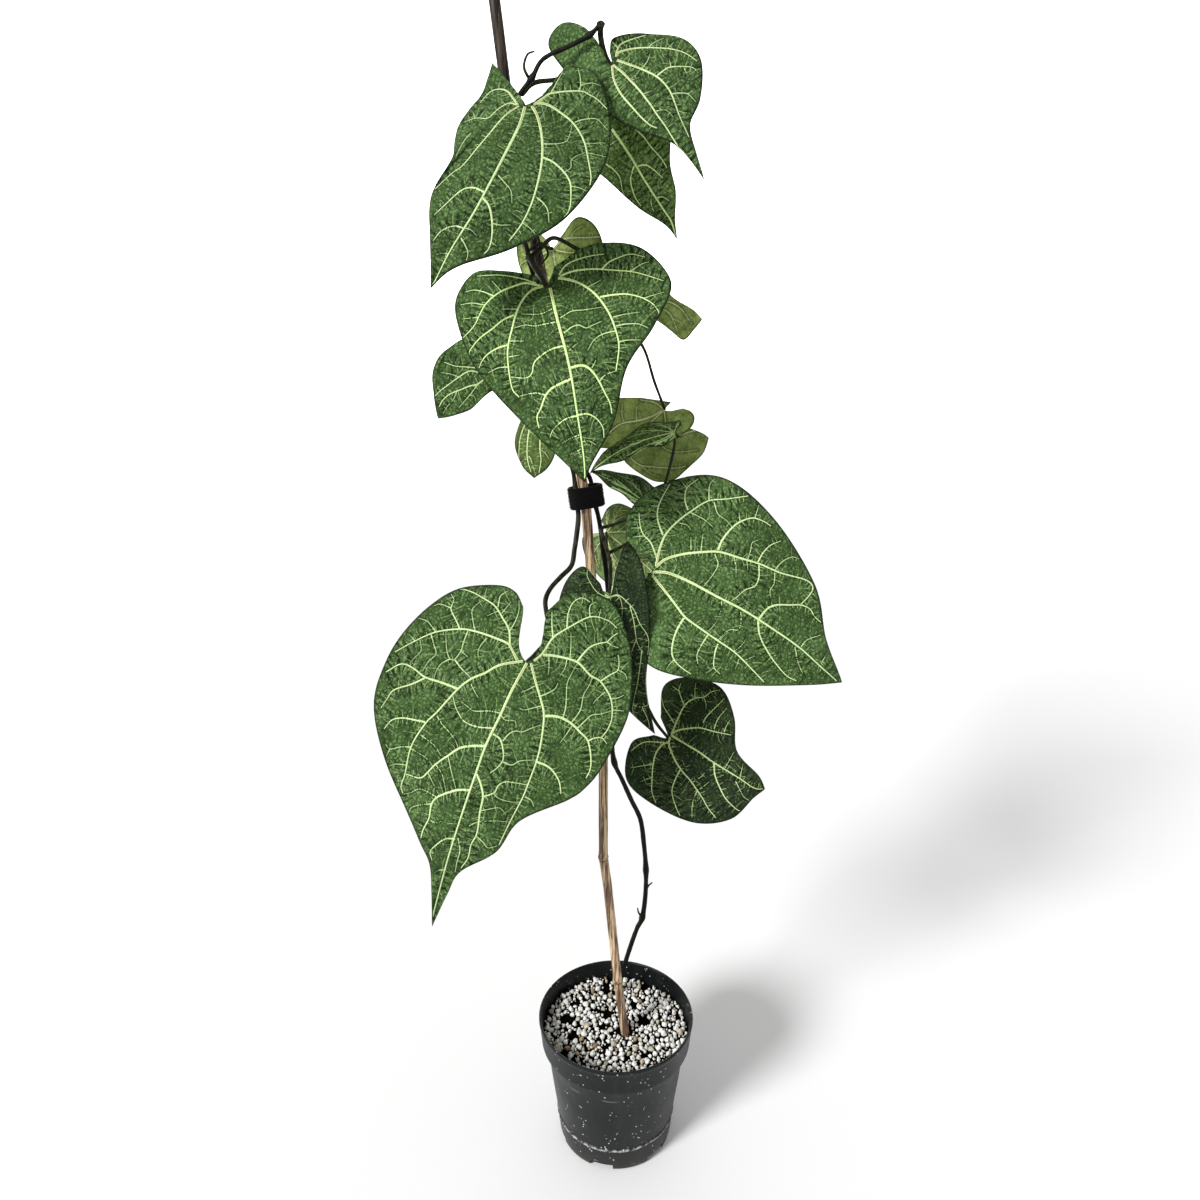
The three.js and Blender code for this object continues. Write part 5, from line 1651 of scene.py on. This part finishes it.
def make_tie():
    lean = unit(TIE["lean"])
    across = unit(np.array([1.0, 0, 0]) - lean[0] * lean)
    third = np.cross(lean, across)
    centre = np.array(TIE["centre"])
    draw = np.random.default_rng(41)
    share = np.arange(TIE_STEPS + 1) / TIE_STEPS
    c, s = np.cos(2 * np.pi * share), np.sin(2 * np.pi * share)
    power = TIE["power"]
    hole = (np.abs(c / TIE["half_width"]) ** power + np.abs(s / TIE["half_depth"]) ** power) ** (-1 / power)
    lap = TIE["overlap"] * share
    outward = c[:, None] * across + s[:, None] * third
    half = TIE["height"] / 2
    strap = TIE["strap"]
    section = [(0, -half + 0.4), (0, half - 0.4), (0.35, half), (strap - 0.4, half), (strap, half - 0.5)]
    section += [(strap, half * k / 4) for k in (3, 1.5, 0, -1.5, -3)]
    section += [(strap, -half + 0.5), (strap - 0.4, -half), (0.35, -half)]
    rows = []
    for i in range(TIE_STEPS + 1):
        for out, up in section:
            fuzz = draw.uniform(-0.12, 0.06) if out >= strap - 0.5 else 0
            radius = hole[i] + out + lap[i] * min(out / strap, 1) + fuzz
            rows.append(centre + radius * outward[i] + up * lean)
    wide = len(section)
    fan = np.arange(1, wide - 1)
    last = TIE_STEPS * wide
    parts = Parts()
    parts.add(np.array(rows), np.vstack([
        skin(TIE_STEPS + 1, wide)[:, ::-1],
        np.stack([np.zeros(wide - 2, int), fan, fan + 1], 1),
        np.stack([np.full(wide - 2, last), last + fan, last + fan + 1], 1)[:, ::-1],
    ]))
    t = np.linspace(0, 1, 4)[:, None]
    for _ in range(TIE_LOOPS):
        i = draw.integers(0, TIE_STEPS)
        up = draw.uniform(-half + 0.3, half - 0.3)
        root = centre + (hole[i] + strap + lap[i] - 0.2) * outward[i] + up * lean
        sway = draw.normal(0, 0.35, 3)
        loop = root + t * LOOP_LENGTH * outward[i] + t**2 * sway
        parts.add(*tube(loop, LOOP_RADIUS * (1.3 - t[:, 0]), 3))
    stand_for(parts.piece("strap_tie", [strap_paint()]), "plant_tie")


# Pot, soil and perlite

POT_SIDES = 160
SHARP_EDGE = math.radians(34)
SOIL_SIDES = 160
SOIL_RINGS = 66

# Crumbs of the soil's top: height and size of each set of waves in mm, and its seed
CRUMB_WAVES = ((0.8, 5.0, 71), (0.6, 2.6, 72))
CRUMB_WAVE_COUNT = 14


def inside_wall(clearance):
    narrow = WALL + clearance
    return [
        (BASE_RADIUS + 1 - narrow, FLOOR_TOP + clearance), (BASE_RADIUS + 3 - narrow, RING_HEIGHT),
        (BODY_TOP_RADIUS - narrow, COLLAR_FOOT - 2), (RIM_RADIUS - 2 - narrow, COLLAR_FOOT + 2 + clearance),
        (RIM_RADIUS - 0.6 - narrow, POT_HEIGHT - 3),
    ]


def wall_radius(height, clearance):
    wall = inside_wall(clearance)
    return float(np.interp(height, [z for _, z in wall], [r for r, _ in wall]))


# Profile points as steps out from one radius and up from one height
def profile_part(radius, height, steps):
    return [(radius + out, height + up) for out, up in steps]


def pot_profile():
    inner = inside_wall(0)[::-1]
    floor_edge, floor_height = inner[-1]
    return [
        (0, 0.3), (PAD_RADIUS - 0.5, 0.3), (PAD_RADIUS, 0.7), (PAD_RADIUS + 1, FOOT_HEIGHT),
        (CHANNEL_RADIUS, FOOT_HEIGHT), (CHANNEL_RADIUS + 1, 0.5), (CHANNEL_RADIUS + 1.4, 0),
        *profile_part(BASE_RADIUS, 0, [(-0.6, 0), (0, 0.4), (1.2, 1.8), (1.9, 6), (2.6, 12)]),
        *profile_part(BASE_RADIUS, RING_HEIGHT, [
            (3.1, -2), (3.2, -1.4), (3.8, -0.8), (4, 0), (3.8, 0.8), (3.3, 1.4), (3.5, 2.4)]),
        *profile_part(BODY_TOP_RADIUS, COLLAR_FOOT, [(-3, -28), (-0.2, -1.2), (0.2, -0.2)]),
        *profile_part(RIM_RADIUS, COLLAR_FOOT, [
            (-2.6, 0.1), (-2.15, 0.5), (-1.95, 1.4), (-1.9, 2.6), (-1.2, 10)]),
        *profile_part(RIM_RADIUS, POT_HEIGHT, [
            (-0.6, -4.6), (-0.45, -3.6), (-0.08, -2.8), (0, -2.2), (0, -1), (-0.3, -0.3), (-0.8, 0),
            (-1.4, -0.15), (-1.9, -0.8)]),
        *inner[:-1], (floor_edge + 0.1, floor_height + 1), (floor_edge - 0.8, floor_height), (0, FLOOR_TOP),
    ]


# Foot notches, and a drain hole behind each
def pot_cutter():
    box = np.array([(x, y, z) for z in (-1, 1) for y in (-1, 1) for x in (-1, 1)], float)
    squares = [(0, 2, 3, 1), (4, 5, 7, 6), (0, 1, 5, 4), (2, 6, 7, 3), (0, 4, 6, 2), (1, 3, 7, 5)]
    sides = [half for a, b, c, d in squares for half in ((a, b, c), (a, c, d))]
    drain_at = (PAD_RADIUS + CHANNEL_RADIUS + 1) / 2
    cutters = Parts()
    for angle in NOTCH_TURNS:
        c, s = math.cos(angle), math.sin(angle)
        spin = np.array([[c, -s, 0], [s, c, 0], [0, 0, 1]])
        notch = box * (7, NOTCH_WIDTH / 2, FOOT_HEIGHT) + (BASE_RADIUS, 0, 0)
        cutters.add(notch @ spin.T, sides)
        drain, walls = tube([(drain_at, 0, 0.5), (drain_at, 0, 12)], [DRAIN_RADIUS, DRAIN_RADIUS], 24)
        cutters.add(drain @ spin.T, walls)
    return cutters.piece("pot_cutter", [])


def make_pot():
    pot = mesh_piece("nursery_pot", *turned(pot_profile(), POT_SIDES), [pot_paint()])
    cut_away(pot, pot_cutter())
    pot.data.polygons.foreach_set("use_smooth", np.ones(len(pot.data.polygons), bool))
    pot.data.set_sharp_from_angle(angle=SHARP_EDGE)
    stand_for(pot, "pot")


# Room for the cane and the stem in the soil
def soil_cutter():
    stations, radii, _ = cane_shape(2 * GAP, 20)
    below = stations[:, 2] < SOIL_TOP + 35
    stem_line = curve(STEM_ROUTE[:4], np.linspace(0, 1, 12))
    stem_line[0] -= (0, 0, 2 * GAP)
    holes = Parts()
    holes.add(*tube(stations[below], radii[below], 20))
    holes.add(*tube(stem_line, np.full(12, STEM_BASE_RADIUS + 3 * GAP), 16))
    return holes.piece("soil_holes", [])


def make_soil():
    edge = wall_radius(SOIL_TOP, GAP)
    wall = [(r, z) for r, z in inside_wall(GAP) if z < SOIL_TOP - 2]
    top = [(edge * (1 - k / SOIL_RINGS), SOIL_TOP - 0.8) for k in range(SOIL_RINGS)]
    points, faces = turned([(0, wall[0][1])] + wall + top + [(0, SOIL_TOP - 1.4)], SOIL_SIDES)
    crumbly = points[:, 2] > SOIL_TOP - 3
    across = points[crumbly, :2]
    rise = sum(height * waves(across, size, seed, CRUMB_WAVE_COUNT) for height, size, seed in CRUMB_WAVES)
    points[crumbly, 2] = np.clip(SOIL_TOP - 1.3 + rise, SOIL_TOP - 3.4, SOIL_TOP)
    soil = mesh_piece("peat_fill", points, faces, [soil_paint()])
    cut_away(soil, soil_cutter())
    stand_for(soil, "potting_soil")


# Perlite grains: smallest and largest half size in mm, and how many are tried. Large ones get a finer mesh.

GRAIN_ROUNDS = ((1.6, 2.5, 1000), (1.0, 1.6, 2200), (0.5, 1.0, 2600))
GRAIN_SHAPES = 9
COARSE, FINE = 2, 3
FINE_GRAIN = 1.45
BARE_SHARE = 0.93
GRAIN_TOUCH = 0.93
WHITE_SHARE = 0.86
PALE_SHARE = 0.97


def rounded_grain(variant, detail):
    bpy.ops.mesh.primitive_ico_sphere_add(subdivisions=detail, radius=1)
    ball = bpy.context.object
    points = np.array([v.co for v in ball.data.vertices])
    faces = np.array([list(p.vertices) for p in ball.data.polygons])
    bpy.data.objects.remove(ball)
    bulge = 0.2 * waves(points, 1.5, 300 + variant) + 0.09 * waves(points, 0.7, 340 + variant)
    return points * (1 + bulge)[:, None], faces


# Whether a grain may lie there: some patches stay bare, and it keeps off cane, stem and the other grains
def grain_free(x, y, size, placed, draw):
    if waves([(x, y)], 21, 55)[0] > 0.8 and draw.random() < BARE_SHARE:
        return False
    for (foot_x, foot_y), room in ((height_point(SOIL_TOP + 2)[:2], 5), (STEM_ROUTE[1][:2], 3)):
        if math.hypot(x - foot_x, y - foot_y) < room + size:
            return False
    return all(math.hypot(x - px, y - py) >= GRAIN_TOUCH * (size + ps) for px, py, ps in placed)


def make_perlite():
    draw = np.random.default_rng(12)
    shapes = {detail: [rounded_grain(k, detail) for k in range(GRAIN_SHAPES)] for detail in (COARSE, FINE)}
    placed = []
    parts = Parts()
    for smallest, largest, tries in GRAIN_ROUNDS:
        for _ in range(tries):
            size = draw.uniform(smallest, largest)
            radius = (wall_radius(SOIL_TOP + 2, GAP) - size) * math.sqrt(draw.random())
            angle = draw.uniform(0, 2 * math.pi)
            x, y = radius * math.cos(angle), radius * math.sin(angle)
            if not grain_free(x, y, size, placed, draw):
                continue
            placed.append((x, y, size))
            points, faces = shapes[FINE if size > FINE_GRAIN else COARSE][draw.integers(0, GRAIN_SHAPES)]
            turn = np.linalg.qr(draw.normal(size=(3, 3)))[0]
            turn[:, 0] *= np.linalg.det(turn)
            stretch = draw.uniform(0.66, 1.15, 3)
            rounded = (points * stretch) @ turn.T * size * 0.92
            kind = draw.random()
            slot = 0 if kind < WHITE_SHARE else 1 if kind < PALE_SHARE else 2
            parts.add(rounded + (x, y, SOIL_TOP + 0.55 * size + GAP), faces, slot)
    paints = [
        grain_paint("perlite_white", *colors((238, 238, 234), (200, 198, 190), (112, 108, 100))),
        grain_paint("perlite_cream", *colors((200, 192, 172), (160, 150, 128), (96, 86, 70))),
        grain_paint("perlite_tan", *colors((168, 142, 110), (132, 106, 78), (76, 60, 44))),
    ]
    stand_for(parts.piece("perlite_grains", paints), "perlite_layer")


make_stem()
make_cane()
make_tie()
make_pot()
make_soil()
make_perlite()


# Floor, wall, light and camera

STAGE_HALF_WIDTH = 9000
STAGE_FRONT = -5000
STAGE_BACK = 7000
WALL_TOP = 3500
FLOOR_SHADE = 0.84
WALL_SHADE = 0.9
WALL_GLOW = 1.0
WORLD_STRENGTH = 0.5
SUN_STRENGTH = 3.84
SUN_SIZE = math.radians(16)
SUN_WAY = (0.625, 0.583, -0.52)
NEAREST_SEEN = 0.01
FARTHEST_SEEN = 40


def plain_paint(name, shade, glow):
    paint = Paint(name)
    cloud = paint.noise(0.4, 2.0, 0.5)
    paint.feed(paint.shader.inputs["Emission Color"], (1, 1, 1, 1))
    paint.shader.inputs["Emission Strength"].default_value = glow
    fainter = 0.98 * shade
    color = paint.mix(cloud, (shade, shade, shade, 1), (fainter, fainter, fainter, 1))
    return paint.finish(color, 0.9, (), 0.1)


def plane(name, first, second, surface):
    (x0, y0, z0), (x1, y1, z1) = first, second
    corners = [(x0, y0, z0), (x1, y0, z0), (x1, y1, z1), (x0, y1, z1)]
    made = mesh_piece(name, corners, [(0, 1, 2, 3)], [surface])


plane("floor", (-STAGE_HALF_WIDTH, STAGE_FRONT, 0), (STAGE_HALF_WIDTH, STAGE_BACK, 0),
      plain_paint("floor_white", FLOOR_SHADE, 0))
plane("backdrop", (-STAGE_HALF_WIDTH, STAGE_BACK, 0), (STAGE_HALF_WIDTH, STAGE_BACK, WALL_TOP),
      plain_paint("backdrop_white", WALL_SHADE, WALL_GLOW))

world = bpy.data.worlds.new("studio")
bpy.context.scene.world = world
world.use_nodes = True
background = world.node_tree.nodes["Background"]
background.inputs["Color"].default_value = (1, 1, 1, 1)
background.inputs["Strength"].default_value = WORLD_STRENGTH

sun = bpy.data.lights.new("soft_key", "SUN")
sun.energy = SUN_STRENGTH
sun.angle = SUN_SIZE
key = bpy.data.objects.new("soft_key", sun)
key.rotation_mode = "QUATERNION"
key.rotation_quaternion = Vector(SUN_WAY).to_track_quat("-Z", "Y")
bpy.context.scene.collection.objects.link(key)

camera = bpy.data.cameras.new("camera")
camera.sensor_width = SENSOR
camera.lens = FOCAL / FRAME_SIZE * SENSOR
camera.clip_start = NEAREST_SEEN
camera.clip_end = FARTHEST_SEEN
eye = bpy.data.objects.new("camera", camera)
eye.location = CAMERA_PLACE * MM
eye.rotation_euler = (math.pi / 2 - CAMERA_PITCH, 0, 0)
bpy.context.scene.collection.objects.link(eye)
bpy.context.scene.camera = eye

bpy.context.scene.view_settings.view_transform = "Standard"

bpy.context.view_layer.update()
